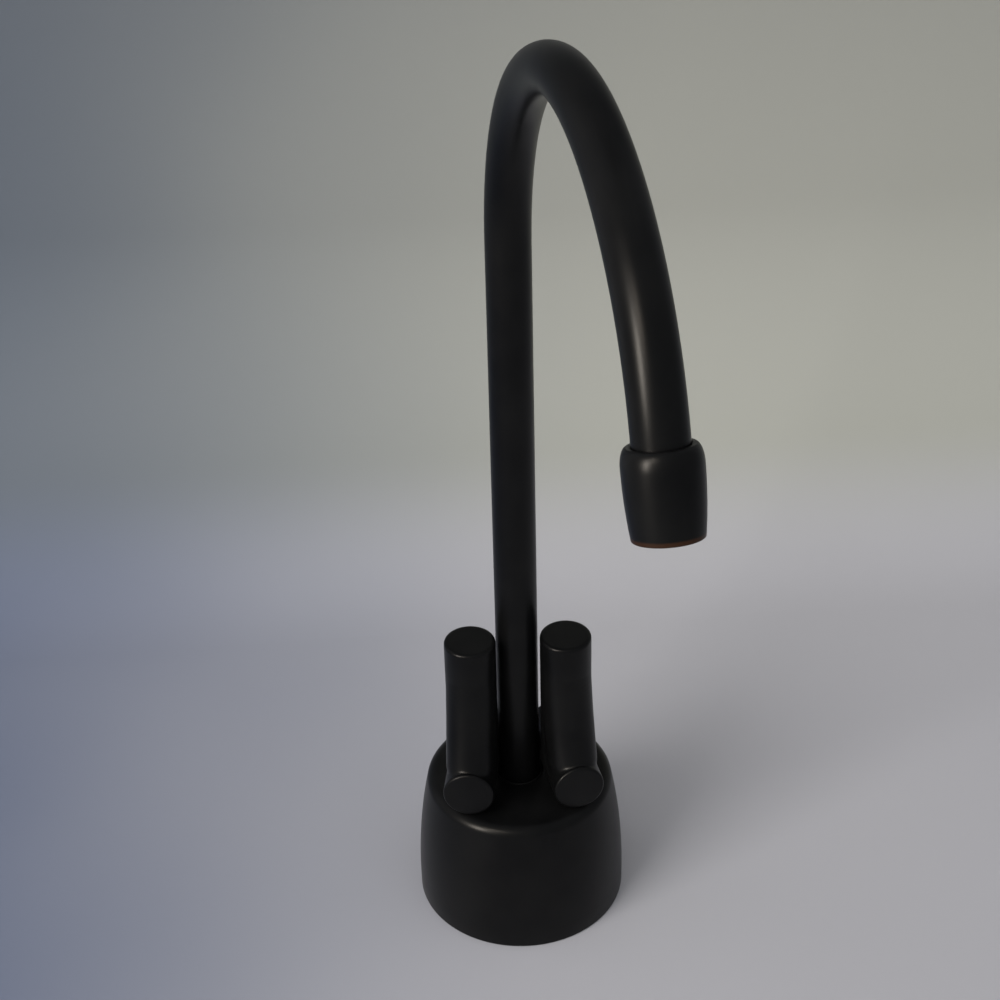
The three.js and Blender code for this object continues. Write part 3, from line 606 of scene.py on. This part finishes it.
def arc(centre: Pair, radius: float, start: float, end: float, steps: int) -> Profile:
    """Returns the points of an arc in a profile.

    Args:
        centre: The arc's centre, as radius and distance along the axis.
        radius: The arc's radius.
        start: The first angle, in radians from the radial direction.
        end: The last angle.
        steps: How many chords it has.

    Returns:
        The points, both ends included.
    """
    angles = [start + (end - start) * i / steps for i in range(steps + 1)]
    return [(centre[0] + radius * math.cos(a), centre[1] + radius * math.sin(a)) for a in angles]


def turned(name: str, profile: Profile, axis: Axis, facets: int) -> bpy.types.Object:
    """Turns a profile about an axis, as on a lathe.

    A vertex is drawn along the profile and the line is spun once round. A profile that starts and ends on
    the axis gives a bar; one that comes back to its first point gives a ring.

    Args:
        name: The piece's name.
        profile: Points as radius and distance along the axis.
        axis: The line to turn about.
        facets: How many facets the turn has.

    Returns:
        The finished piece.
    """
    points = [axis.point(*p) for p in profile]
    piece = start_point(points[0])
    for here, there in zip(points, points[1:]):
        bpy.ops.mesh.extrude_vertices_move(TRANSFORM_OT_translate={"value": there - here})
    bpy.ops.mesh.select_all(action="SELECT")
    bpy.ops.mesh.spin(
        steps=facets, angle=FULL_TURN, center=axis.origin, axis=axis.along, use_auto_merge=False
    )
    close_seams()
    leave_edit()
    bpy.ops.object.shade_smooth_by_angle(angle=CREASE)
    return settle(piece, name)


def round_bar(
    name: str, radius: float, start: float, end: float, axis: Axis, facets: int = TOOL_FACETS
) -> bpy.types.Object:
    """Turns a plain bar, for cutting and joining."""
    profile = [(0, start), (radius, start), (radius, end), (0, end)]
    return turned(name, profile, axis, facets)


def apply(piece: bpy.types.Object, kind: str, **settings: object) -> None:
    """Adds a modifier to a piece and applies it.

    Args:
        piece: The piece.
        kind: The modifier's type.
        settings: The modifier's properties.
    """
    activate(piece)
    modifier = piece.modifiers.new(kind.lower(), kind)
    for key, value in settings.items():
        setattr(modifier, key, value)
    bpy.ops.object.modifier_apply(modifier=modifier.name)


def carve(piece: bpy.types.Object, *tools: bpy.types.Object) -> None:
    """Cuts tools out of a piece and removes them."""
    for tool in tools:
        apply(piece, "BOOLEAN", operation="DIFFERENCE", object=tool, solver="EXACT")
        bpy.data.objects.remove(tool)


def gather(piece: bpy.types.Object, *others: bpy.types.Object) -> None:
    """Takes the meshes of others into a piece as they are, for a remesh to fuse."""
    activate(piece)
    for other in others:
        other.select_set(True)
    bpy.ops.object.join()


def soften(
    piece: bpy.types.Object, share: Callable[[Vector], float], factor: float, repeats: int
) -> None:
    """Relaxes part of a dense mesh, so that its hollows and creases blend.

    Args:
        piece: The piece.
        share: How much each point takes part, 0 to 1.
        factor: The strength of one pass.
        repeats: The number of passes.
    """
    group = piece.vertex_groups.new(name="blend")
    for vertex in piece.data.vertices:
        weight = share(vertex.co)
        if weight > 0:
            group.add([vertex.index], weight, "REPLACE")
    apply(piece, "SMOOTH", factor=factor, iterations=repeats, vertex_group=group.name)
    piece.vertex_groups.clear()


def smooth_step(low: float, high: float, value: float) -> float:
    """Returns 0 below low, 1 above high and a smooth step between."""
    t = min(max((value - low) / (high - low), 0.0), 1.0)
    return t * t * (3 - 2 * t)


# ---- The tap ----


@dataclass(frozen=True)
class Stance:
    """Where one side's lever stands, which way its hub points and what stands behind it.

    Args:
        side: Hot or cold.
    """

    side: Side
    side_offset: float = 13.6 * MM
    front_offset: float = 4.9 * MM
    splay: float = math.radians(9.7)
    valve_setback: float = 12.5 * MM
    screw_setback: float = 17.2 * MM

    @property
    def forward(self) -> Vector:
        """The level direction in which the hub points."""
        return Vector((self.side.hand * math.sin(self.splay), -math.cos(self.splay), 0))

    @property
    def outward(self) -> Vector:
        """The level direction to the outside of the tap."""
        return Vector((self.side.hand * math.cos(self.splay), math.sin(self.splay), 0))

    def spot(self, setback: float = 0) -> Vector:
        """Returns the point on the worktop at a distance behind the stick's middle."""
        stick = Vector((self.side.hand * self.side_offset, -self.front_offset, 0))
        return stick - self.forward * setback


@dataclass
class TapBase:
    """The round tapered shell and the ring that the spout turns in.

    The shell is hollow up to its underside. Its foot has a rebate for the closing plate, and a hole at
    the back gives access to the screw that limits the spout's swivel.
    """

    shelf: FinishShelf
    foot_radius: float = 30.85 * MM
    top_radius: float = 27 * MM
    rim_radius: float = 3.4 * MM
    foot_height: float = 6 * MM
    foot_edge: float = 0.6 * MM
    wall: float = 4.2 * MM
    underside: float = 39 * MM
    plate_rebate: float = 27.9 * MM
    ledge: float = 8.3 * MM
    top_bore: float = 7.1 * MM
    bore_edge: float = 0.35 * MM
    access_radius: float = 2.7 * MM
    access_start: float = 21.9 * MM
    access_height: float = 30 * MM
    ring_inner: float = 6.3 * MM
    ring_outer: float = 6.95 * MM
    ring_foot: float = 40 * MM
    ring_edge: float = 0.2 * MM
    stem_hole: float = 2.1 * MM
    edge_steps: int = 4
    flank_steps: int = 28
    rim_steps: int = 12
    inner_steps: int = 10

    def flank(self) -> tuple[Pair, float, float]:
        """Returns the centre, the radius and the end angle of the flank's long curve."""
        drop = self.foot_radius - self.top_radius
        rise = BASE_TOP - self.foot_height
        radius = (rise**2 + drop**2) / (2 * drop)
        end = math.asin((rise - self.rim_radius) / (radius - self.rim_radius))
        return (self.foot_radius - radius, self.foot_height), radius, end

    def section(self) -> Profile:
        """Returns the shell's section: foot, flank, rim and bore outside, then the hollow."""
        centre, radius, end = self.flank()
        rim = (centre[0] + (radius - self.rim_radius) * math.cos(end), BASE_TOP - self.rim_radius)
        inner = radius - self.wall
        inner_top = math.asin((self.underside - self.foot_height) / inner)
        inner_foot = math.asin((self.ledge - self.foot_height) / inner)
        foot_edge = (self.foot_radius - self.foot_edge, self.foot_edge)
        bore_edge = (self.top_bore + self.bore_edge, BASE_TOP - self.bore_edge)
        return [
            (self.plate_rebate, 0),
            *arc(foot_edge, self.foot_edge, -RIGHT_ANGLE, 0, self.edge_steps),
            *arc(centre, radius, 0, end, self.flank_steps),
            *arc(rim, self.rim_radius, end, RIGHT_ANGLE, self.rim_steps)[1:],
            *arc(bore_edge, self.bore_edge, RIGHT_ANGLE, math.pi, self.edge_steps),
            (self.top_bore, self.underside),
            *arc(centre, inner, inner_top, inner_foot, self.inner_steps),
            (self.plate_rebate, self.ledge),
            (self.plate_rebate, 0),
        ]

    def build(self) -> None:
        """Builds the shell and the ring."""
        self.shelf.finish(self.shell(), Slot.BLACK_COAT, Body.BASE, "base_shell")
        self.shelf.finish(self.ring(), Slot.BEARING_PLASTIC, Body.BASE, "spout_bearing")

    def shell(self) -> bpy.types.Object:
        """Turns the shell and drills it at the back and for each side's stem and screw."""
        shell = turned("tap_base_shell", self.section(), UPRIGHT, SHELL_FACETS)
        back = Axis(UP * self.access_height, Vector((0, 1, 0)), UPRIGHT.across)
        end = self.foot_radius + PROUD
        drills = [round_bar("drill", self.access_radius, self.access_start, end, back)]
        low, high = self.underside - PROUD, BASE_TOP + PROUD
        for stance in map(Stance, Side):
            stem = Axis(stance.spot(stance.valve_setback), UP, UPRIGHT.across)
            screw = Axis(stance.spot(stance.screw_setback), UP, UPRIGHT.across)
            drills.append(round_bar("drill", self.stem_hole, low, high, stem, HOLE_FACETS))
            drills.append(round_bar("drill", BLOCK_SCREW_HOLE, low, high, screw, HOLE_FACETS))
        carve(shell, *drills)
        return shell

    def ring(self) -> bpy.types.Object:
        """Turns the plastic ring that the spout turns in."""
        edge = self.ring_edge
        profile: Profile = [
            (self.ring_inner, self.ring_foot),
            (self.ring_outer, self.ring_foot),
            (self.ring_outer, BASE_TOP - edge),
            (self.ring_outer - edge, BASE_TOP),
            (self.ring_inner + edge, BASE_TOP),
            (self.ring_inner, BASE_TOP - edge),
            (self.ring_inner, self.ring_foot),
        ]
        return turned("tap_spout_ring", profile, UPRIGHT, HUB_FACETS)


@dataclass
class SwanNeck:
    """The bent tube and the bell-shaped outlet at its end.

    The tube ends at a stop inside the bell, and the chamber below the stop holds the straightener.
    """

    shelf: FinishShelf
    yaw: float = math.radians(8.6)
    tube_radius: float = 6 * MM
    tube_wall: float = 1 * MM
    foot: float = 33.3 * MM
    bend_start: float = 217.5 * MM
    bend_radius: float = 69.8 * MM
    sweep: float = math.radians(159.3)
    run_to_bell: float = 1.1 * MM
    socket_depth: float = 8.3 * MM
    bell_length: float = 18.95 * MM
    collar_radius: float = 6.95 * MM
    shoulder_radius: float = 8.4 * MM
    shoulder_length: float = 4.2 * MM
    mouth_radius: float = 7.5 * MM
    edge_radius: float = 0.35 * MM
    tube_facets: int = 72
    bend_steps: int = 110
    shoulder_steps: int = 14
    flank_steps: int = 16
    edge_steps: int = 6
    bore: float = 6.05 * MM
    bore_edge: float = 0.25 * MM
    mouth_edge: float = 0.15 * MM
    bore_depth: float = 8.6 * MM
    stop_bore: float = 5.4 * MM
    stop_length: float = 1.2 * MM
    chamber: float = 6.5 * MM
    lip_depth: float = 1.3 * MM

    @property
    def out(self) -> Vector:
        """The level direction in which the spout reaches."""
        return Vector((math.sin(self.yaw), -math.cos(self.yaw), 0))

    @property
    def hinge(self) -> Vector:
        """The level direction that the tube bends about."""
        return Vector((math.cos(self.yaw), math.sin(self.yaw), 0))

    def stream(self) -> Axis:
        """Returns the line down the outlet, from the bell's top."""
        turn = self.sweep
        along = self.out * math.sin(turn) + UP * math.cos(turn)
        end = self.out * (self.bend_radius * (1 - math.cos(turn)))
        end = end + UP * (self.bend_start + self.bend_radius * math.sin(turn))
        return Axis(end + along * self.run_to_bell, along, self.hinge)

    def build(self) -> None:
        """Builds the tube and the bell."""
        self.shelf.finish(self.tube(), Slot.BLACK_COAT, Body.SPOUT, "spout_tube")
        bell = self.bell()
        self.shelf.finish(bell, Slot.BLACK_COAT, Body.SPOUT, "outlet_bell")
        coat = PowderCoat(
            name="satin_black_coat_with_brown_lip_band",
            lip_start=tuple(self.stream().point(0, self.bell_length)),
            lip_axis=tuple(self.stream().along),
            lip_depth=self.lip_depth,
        )
        bell.data.materials.clear()
        bell.data.materials.append(coat.build())

    def tube(self) -> bpy.types.Object:
        """Draws a circle up, round the bend and into the bell, and gives it a wall."""
        deselect_all()
        bpy.ops.mesh.primitive_circle_add(
            vertices=self.tube_facets, radius=self.tube_radius, location=(0, 0, self.foot)
        )
        tube = bpy.context.object
        bpy.ops.object.mode_set(mode="EDIT")
        bpy.ops.mesh.select_all(action="SELECT")
        rise = {"value": UP * (self.bend_start - self.foot)}
        bpy.ops.mesh.extrude_region_move(TRANSFORM_OT_translate=rise)
        centre = self.out * self.bend_radius + UP * self.bend_start
        bpy.ops.mesh.spin(steps=self.bend_steps, angle=self.sweep, center=centre, axis=-self.hinge)
        run = {"value": self.stream().along * (self.run_to_bell + self.socket_depth)}
        bpy.ops.mesh.extrude_region_move(TRANSFORM_OT_translate=run)
        close_seams()
        leave_edit()
        settle(tube, "tap_spout_tube")
        apply(tube, "SOLIDIFY", thickness=self.tube_wall, offset=-1)
        bpy.ops.object.shade_smooth_by_angle(angle=CREASE)
        return tube

    def shoulder(self) -> Profile:
        """Returns the bell's rounded shoulder."""
        rise = self.shoulder_radius - self.collar_radius
        angles = [RIGHT_ANGLE * i / self.shoulder_steps for i in range(self.shoulder_steps + 1)]
        return [
            (self.collar_radius + rise * math.sin(a), self.shoulder_length * (1 - math.cos(a)))
            for a in angles
        ]

    def flank(self, end: float) -> Profile:
        """Returns the bell's flank, which eases inwards from the shoulder to its end."""
        draw = self.shoulder_radius - self.mouth_radius
        run = end - self.shoulder_length
        shares = [i / self.flank_steps for i in range(1, self.flank_steps)]
        return [
            (self.shoulder_radius - draw * share**2, self.shoulder_length + run * share)
            for share in shares
        ]

    def bell(self) -> bpy.types.Object:
        """Turns the bell: a rounded shoulder, a long easing flank and a thin rolled edge."""
        end = self.bell_length - self.edge_radius
        lip = (self.mouth_radius - self.edge_radius, end)
        stop_end = self.bore_depth + self.stop_length
        profile: Profile = [
            (self.bore, self.bore_edge),
            (self.bore + self.bore_edge, 0),
            *self.shoulder(),
            *self.flank(end),
            *arc(lip, self.edge_radius, 0, RIGHT_ANGLE, self.edge_steps),
            (self.chamber + self.mouth_edge, self.bell_length),
            (self.chamber, self.bell_length - self.mouth_edge),
            (self.chamber, stop_end),
            (self.stop_bore, stop_end),
            (self.stop_bore, self.bore_depth),
            (self.bore, self.bore_depth),
            (self.bore, self.bore_edge),
        ]
        return turned("tap_outlet_bell", profile, self.stream(), BELL_FACETS)


@dataclass
class Lever:
    """One lever with its round hub, the disc that closes the hub, and the bearing block behind it."""

    shelf: FinishShelf
    side: Side
    stick_radius: float = 7.35 * MM
    top: float = 96 * MM
    top_edge: float = 0.9 * MM
    hub_radius: float = 7.4 * MM
    hub_height: float = 50.9 * MM
    hub_front: float = 13.8 * MM
    hub_spare: float = 3 * MM  # goes again when the front is faced
    hub_back: float = 3 * MM
    tail_radius: float = 5.4 * MM
    shin_radius: float = 7.3 * MM
    shin_top: float = 86 * MM
    shin_foot: float = 56.35 * MM
    shin_reach: float = 6.7 * MM
    shin_curve: float = 1.5
    shin_balls: int = 22
    ball_facets: int = 40
    cap_back: float = 13.86 * MM
    cap_front: float = 14.8 * MM
    cap_edge: float = 0.75 * MM
    cap_chamfer: float = 0.08 * MM
    edge_steps: int = 5
    boss_radius: float = 3 * MM
    boss_end: float = 12 * MM
    bore_end: float = 8.9 * MM
    seat_radius: float = 3.3 * MM
    seat_start: float = 10 * MM
    skin: float = 0.33 * MM  # the remesh's voxel
    melt_factor: float = 0.5
    melt_passes: int = 30
    melt_fade: float = 20 * MM
    melt_tail: float = 0.5 * MM
    melt_hub: Pair = (-2 * MM, 4 * MM)
    polish_share: float = 0.6
    polish_passes: int = 2
    arm_crease: float = math.radians(40)
    block_half: float = 5.4 * MM
    block_front: float = 7.65 * MM
    block_back: float = 19 * MM
    block_edge: float = 0.7 * MM
    block_edge_steps: int = 3
    block_edge_angle: float = math.radians(50)
    block_corner: float = 0.001 * MM  # the tiny squares that mark the foot's corners
    pocket_half: float = 4.5 * MM
    pocket: Pair = (9.9 * MM, 15.1 * MM)
    block_bore_end: float = 16.8 * MM
    screw_hole_height: float = 4.3 * MM
    foot_sink: float = 2 * MM  # how far the pocket and the screw's hole run past the foot

    @property
    def stance(self) -> Stance:
        """Where the lever stands."""
        return Stance(self.side)

    def stick_line(self, setback: float = 0) -> Axis:
        """Returns the upright line through the stick, or a distance behind it."""
        return Axis(self.stance.spot(setback), UP, self.stance.outward)

    def hub_line(self) -> Axis:
        """Returns the level line through the hub, counted forward from the stick."""
        middle = self.stick_line().point(0, self.hub_height)
        return Axis(middle, self.stance.forward, self.stance.outward)

    def build(self) -> None:
        """Builds the lever, its cap and its bearing block."""
        name = self.side.value
        self.shelf.finish(self.arm(), Slot.BLACK_COAT, self.side.body, f"{name}_lever")
        self.shelf.finish(self.cap(), Slot.BLACK_COAT, self.side.body, f"{name}_hub_cap")
        self.shelf.finish(self.block(), Slot.BLACK_COAT, Body.BASE, f"{name}_bracket")

    def arm(self) -> bpy.types.Object:
        """Melts stick, shin, hub and tail into one flowing body, faces its front and bores the hub."""
        hub_line = self.hub_line()
        edge = self.top_edge
        rim = (self.stick_radius - edge, self.top - edge)
        stick: Profile = [
            (0, self.hub_height),
            (self.stick_radius, self.hub_height),
            *arc(rim, edge, 0, RIGHT_ANGLE, self.edge_steps),
            (0, self.top),
        ]
        arm = turned(f"tap_{self.side.value}_lever", stick, self.stick_line(), HUB_FACETS)
        hub_end = self.hub_front + self.hub_spare
        hub = round_bar("hub", self.hub_radius, -self.hub_back, hub_end, hub_line, HUB_FACETS)
        tail = round_bar("tail", self.tail_radius, -self.stick_radius, 0, hub_line, HUB_FACETS)
        gather(arm, self.shin(), hub, tail)
        apply(arm, "REMESH", mode="VOXEL", voxel_size=self.skin, use_smooth_shade=True)
        soften(arm, lambda point: self.melt(point, hub_line), self.melt_factor, self.melt_passes)
        soften(arm, lambda point: self.polish_share, self.melt_factor, self.polish_passes)
        wide = self.hub_radius + 2 * PROUD
        front = round_bar("front", wide, self.hub_front, hub_end + PROUD, hub_line)
        seat = round_bar(
            "seat", self.seat_radius, self.seat_start, self.cap_front, hub_line, BORE_FACETS
        )
        start = -self.stick_radius - PROUD
        bore = round_bar("bore", PIVOT_BORE, start, self.bore_end, hub_line, BORE_FACETS)
        carve(arm, front, seat, bore)
        activate(arm)
        bpy.ops.object.shade_smooth_by_angle(angle=self.arm_crease)
        return arm

    def melt(self, point: Vector, hub_line: Axis) -> float:
        """Returns how much a point of the arm takes part in the melting of the joins."""
        ahead = (point - hub_line.origin).dot(hub_line.along)
        low, high = (self.hub_height + edge for edge in self.melt_hub)
        fades = smooth_step(self.shin_top, self.shin_top - self.melt_fade, point.z)
        keeps_tail = smooth_step(-self.stick_radius + self.melt_tail, -self.hub_back, ahead)
        keeps_hub = smooth_step(low, high, point.z)
        return fades * keeps_tail * keeps_hub

    def shin(self) -> bpy.types.Object:
        """Strings balls down a curve that leaves the stick and leans forward into the hub."""
        deselect_all()
        shin = None
        drop = self.shin_top - self.shin_foot
        for i in range(self.shin_balls):
            share = i / (self.shin_balls - 1)
            lean = self.stance.forward * (self.shin_reach * share**self.shin_curve)
            place = self.stick_line().point(0, self.shin_top - drop * share) + lean
            bpy.ops.mesh.primitive_uv_sphere_add(
                segments=self.ball_facets,
                ring_count=self.ball_facets // 2,
                radius=self.shin_radius,
                location=place,
            )
            if shin is None:
                shin = bpy.context.object
                bpy.ops.object.mode_set(mode="EDIT")
        bpy.ops.object.mode_set(mode="OBJECT")
        return settle(shin, "shin")

    def cap(self) -> bpy.types.Object:
        """Turns the disc that faces the user, with a soft edge in front and a boss behind."""
        edge = self.cap_edge
        rim = (self.hub_radius - edge, self.cap_front - edge)
        profile: Profile = [
            (0, self.boss_end),
            (self.boss_radius, self.boss_end),
            (self.boss_radius, self.cap_back),
            (self.hub_radius - self.cap_chamfer, self.cap_back),
            (self.hub_radius, self.cap_back + self.cap_chamfer),
            *arc(rim, edge, 0, RIGHT_ANGLE, self.edge_steps),
            (0, self.cap_front),
        ]
        return turned(f"tap_{self.side.value}_hub_cap", profile, self.hub_line(), HUB_FACETS)

    def block(self) -> bpy.types.Object:
        """Wraps a bar and a foot plate into the arched block, softens its edges and hollows it."""
        block = self.arch(self.block_half, self.block_front, self.block_back, BASE_TOP)
        block.name = f"tap_{self.side.value}_bearing_block"
        block.data.name = block.name
        apply(
            block,
            "BEVEL",
            width=self.block_edge,
            segments=self.block_edge_steps,
            limit_method="ANGLE",
            angle_limit=self.block_edge_angle,
        )
        start, end = BASE_TOP - self.foot_sink, BASE_TOP + self.screw_hole_height
        pocket = self.arch(self.pocket_half, *self.pocket, start)
        bore = round_bar("bore", PIVOT_BORE, -self.block_bore_end, 0, self.hub_line(), BORE_FACETS)
        screw_line = self.stick_line(self.stance.screw_setback)
        screw = round_bar("screw", BLOCK_SCREW_HOLE, start, end, screw_line, HOLE_FACETS)
        carve(block, pocket, bore, screw)
        activate(block)
        bpy.ops.object.shade_smooth_by_angle(angle=CREASE)
        return block

    def arch(self, half: float, front: float, back: float, foot: float) -> bpy.types.Object:
        """Wraps a tight convex skin round a round top and the four corners of a foot.

        Args:
            half: Half the width.
            front: The near face's distance behind the stick.
            back: The far face's distance behind the stick.
            foot: The height of the foot.

        Returns:
            The closed arch.
        """
        hub_line = self.hub_line()
        arch = round_bar("arch", half, -back, -front, hub_line, HUB_FACETS)
        activate(arch)
        bpy.ops.object.mode_set(mode="EDIT")
        for across in (-half, half):
            for behind in (front, back):
                corner = hub_line.point(across, -behind)
                corner.z = foot
                bpy.ops.mesh.primitive_plane_add(size=self.block_corner, location=corner)
        bpy.ops.mesh.select_all(action="SELECT")
        bpy.ops.mesh.convex_hull()
        leave_edit()
        return arch


@dataclass
class ReturnSpring:
    """The coil that lifts one valve's stem, wound anew because it has to shorten as the stem goes down."""

    shelf: FinishShelf
    side: Side
    foot: float = 8.3 * MM
    top: float = 15.2 * MM
    travel: float = 1.1 * MM
    coil_radius: float = 3.55 * MM
    wire_radius: float = 0.4 * MM
    wire_facets: int = 12
    turns: float = 4.5
    steps_per_turn: int = 32

    def build(self) -> None:
        """Winds the coil and sets it in its chamber."""
        stance = Stance(self.side)
        place = stance.spot(stance.valve_setback) + UP * self.foot
        name = self.side.value
        spring = self.coil()
        activate(spring)
        bpy.ops.transform.translate(value=place)
        settle(spring, f"tap_{name}_return_spring")
        self.shelf.finish(spring, Slot.STEEL, Body.BASE, f"{name}_return_spring")
        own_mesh(spring)

    def coil(self) -> bpy.types.Object:
        """Winds a round wire about the upright line and closes its ends."""
        deselect_all()
        bpy.ops.mesh.primitive_circle_add(
            vertices=self.wire_facets,
            radius=self.wire_radius,
            location=(self.coil_radius, 0, self.wire_radius),
            rotation=(RIGHT_ANGLE, 0, 0),
        )
        coil = settle(bpy.context.object, "coil")
        apply(
            coil,
            "SCREW",
            angle=FULL_TURN * self.turns,
            screw_offset=self.top - self.foot - 2 * self.wire_radius,
            steps=round(self.turns * self.steps_per_turn),
        )
        bpy.ops.object.mode_set(mode="EDIT")
        bpy.ops.mesh.select_all(action="SELECT")
        bpy.ops.mesh.fill_holes(sides=self.wire_facets)
        leave_edit()
        bpy.ops.object.shade_smooth_by_angle(angle=CREASE)
        return coil


# ---- The picture ----


@dataclass(frozen=True)
class Panel:
    """A rectangular light that faces the tap.

    Args:
        name: The light's name.
        place: Where it hangs.
        size: Its width and height.
        power: Its power in watts.
        colour: Its colour.
        soft: Whether it lights what it reaches. A light that isn't soft is only mirrored in the coat.
    """

    name: str
    place: Triple
    size: Pair
    power: float
    colour: Triple
    soft: bool

    def hang(self) -> None:
        """Hangs the light."""
        deselect_all()
        bpy.ops.object.light_add(type="AREA", location=self.place)
        lamp = bpy.context.object
        lamp.name = self.name
        lamp.data.shape = "RECTANGLE"
        lamp.data.size, lamp.data.size_y = self.size
        lamp.data.energy = self.power
        lamp.data.color = self.colour
        lamp.visible_diffuse = self.soft
        lamp.visible_glossy = not self.soft
        lamp.rotation_euler = (AIM - Vector(self.place)).to_track_quat("-Z", "Y").to_euler()


@dataclass
class Studio:
    """The worktop, the wall behind it, the lights and the camera of the photograph."""

    half_size: float = 4.0
    wall_distance: float = 0.235
    cove_radius: float = 0.11
    cove_steps: int = 32
    lift: float = 0.01 * MM
    panels: tuple[Panel, ...] = (
        Panel("window", (-1.76, -1.52, 1.62), (1.44, 1.44), 51, (1.0, 1.0, 1.0), True),
        Panel("fill", (0.0, -0.3, 2.2), (2.0, 2.0), 17, (0.96, 0.98, 1.0), True),
        Panel("doorway", (-1.82, -1.39, 1.0), (0.36, 0.9), 56, (1.0, 0.91, 0.8), False),
        Panel("lamp", (-0.79, -1.0, 1.2), (0.3, 0.3), 5.5, (1.0, 0.88, 0.74), False),
    )
    room_walls: Triple = (0.72, 0.75, 0.79)
    room_ceiling: Triple = (0.14, 0.15, 0.17)
    room_rise: Pair = (0.2, 0.85)
    room_seen: Triple = (0.28, 0.29, 0.305)
    camera_place: Triple = (-0.03097, -0.47890, 0.46340)
    camera_heading: float = math.radians(3.26)
    camera_pitch: float = math.radians(34.0)
    camera_roll: float = math.radians(-1.48)
    camera_lens: float = 76.41
    camera_sensor: float = 36
    camera_near: float = 10 * MM

    def build(self) -> None:
        """Builds the stage, the lights and the camera."""
        self.worktop()
        self.wall()
        for panel in self.panels:
            panel.hang()
        self.room()
        self.camera()

    def worktop(self) -> None:
        """Lays the worktop."""
        deselect_all()
        bpy.ops.mesh.primitive_plane_add(size=2 * self.half_size, location=(0, 0, 0))
        sheet = settle(bpy.context.object, "worktop")
        sheet.data.materials.append(Backdrop("pale_worktop", False).build())

    def wall(self) -> None:
        """Draws a line along the worktop and spins and draws it up into a coved wall."""
        half = self.half_size
        foot = self.wall_distance - self.cove_radius
        sheet = start_point((-half, foot, self.lift))
        bpy.ops.mesh.extrude_vertices_move(TRANSFORM_OT_translate={"value": (2 * half, 0, 0)})
        bpy.ops.mesh.select_all(action="SELECT")
        centre = (0, foot, self.cove_radius)
        bpy.ops.mesh.spin(steps=self.cove_steps, angle=RIGHT_ANGLE, center=centre, axis=(-1, 0, 0))
        bpy.ops.mesh.extrude_region_move(TRANSFORM_OT_translate={"value": (0, 0, half)})
        leave_edit()
        settle(sheet, "wall")
        if max(polygon.normal.y for polygon in sheet.data.polygons) > 0:
            sheet.data.flip_normals()
        bpy.ops.object.shade_smooth()
        sheet.data.materials.append(Backdrop("pale_wall", True).build())

    def room(self) -> None:
        """Surrounds the picture with a room that lights it and that is plain grey where it is seen."""
        world = bpy.data.worlds.new("room")
        world.use_nodes = True
        bpy.context.scene.world = world
        sheet = NodeSheet(world.node_tree)
        direction = sheet.node("ShaderNodeTexCoord", output="Generated")
        height = sheet.node("ShaderNodeSeparateXYZ", {}, {0: direction}, "Z")
        colour = sheet.blend(height.ramp(*self.room_rise), self.room_walls, self.room_ceiling)
        rays = ("Is Camera Ray", "Is Glossy Ray", "Is Transmission Ray")
        straight, mirrored, through = (sheet.node("ShaderNodeLightPath", output=ray) for ray in rays)
        colour = sheet.blend(straight + mirrored + through, colour, self.room_seen)
        sheet.feed(sheet.nodes["Background"].inputs["Color"], colour)

    def camera(self) -> None:
        """Sets the camera where the photograph was taken from."""
        level = Matrix.Rotation(-self.camera_heading, 4, "Z")
        tilt = Matrix.Rotation(RIGHT_ANGLE - self.camera_pitch, 4, "X")
        roll = Matrix.Rotation(self.camera_roll, 4, "Z")
        data = bpy.data.cameras.new("camera")
        data.sensor_width = self.camera_sensor
        data.lens = self.camera_lens
        data.clip_start = self.camera_near
        camera = bpy.data.objects.new("camera", data)
        camera.matrix_world = Matrix.Translation(Vector(self.camera_place)) @ level @ tilt @ roll
        bpy.context.scene.collection.objects.link(camera)
        bpy.context.scene.camera = camera


def main() -> None:
    """Builds the whole picture."""
    logging.basicConfig(level=logging.INFO, format="%(name)s: %(message)s")
    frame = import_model()
    shelf = FinishShelf()
    shelf.dress_solids(frame)
    TapBase(shelf).build()
    SwanNeck(shelf).build()
    for side in Side:
        Lever(shelf, side).build()
    for side in Side:
        ReturnSpring(shelf, side).build()
    Studio().build()
    scene = bpy.context.scene
    scene.view_settings.view_transform = "Standard"


if __name__ == "__main__":
    main()
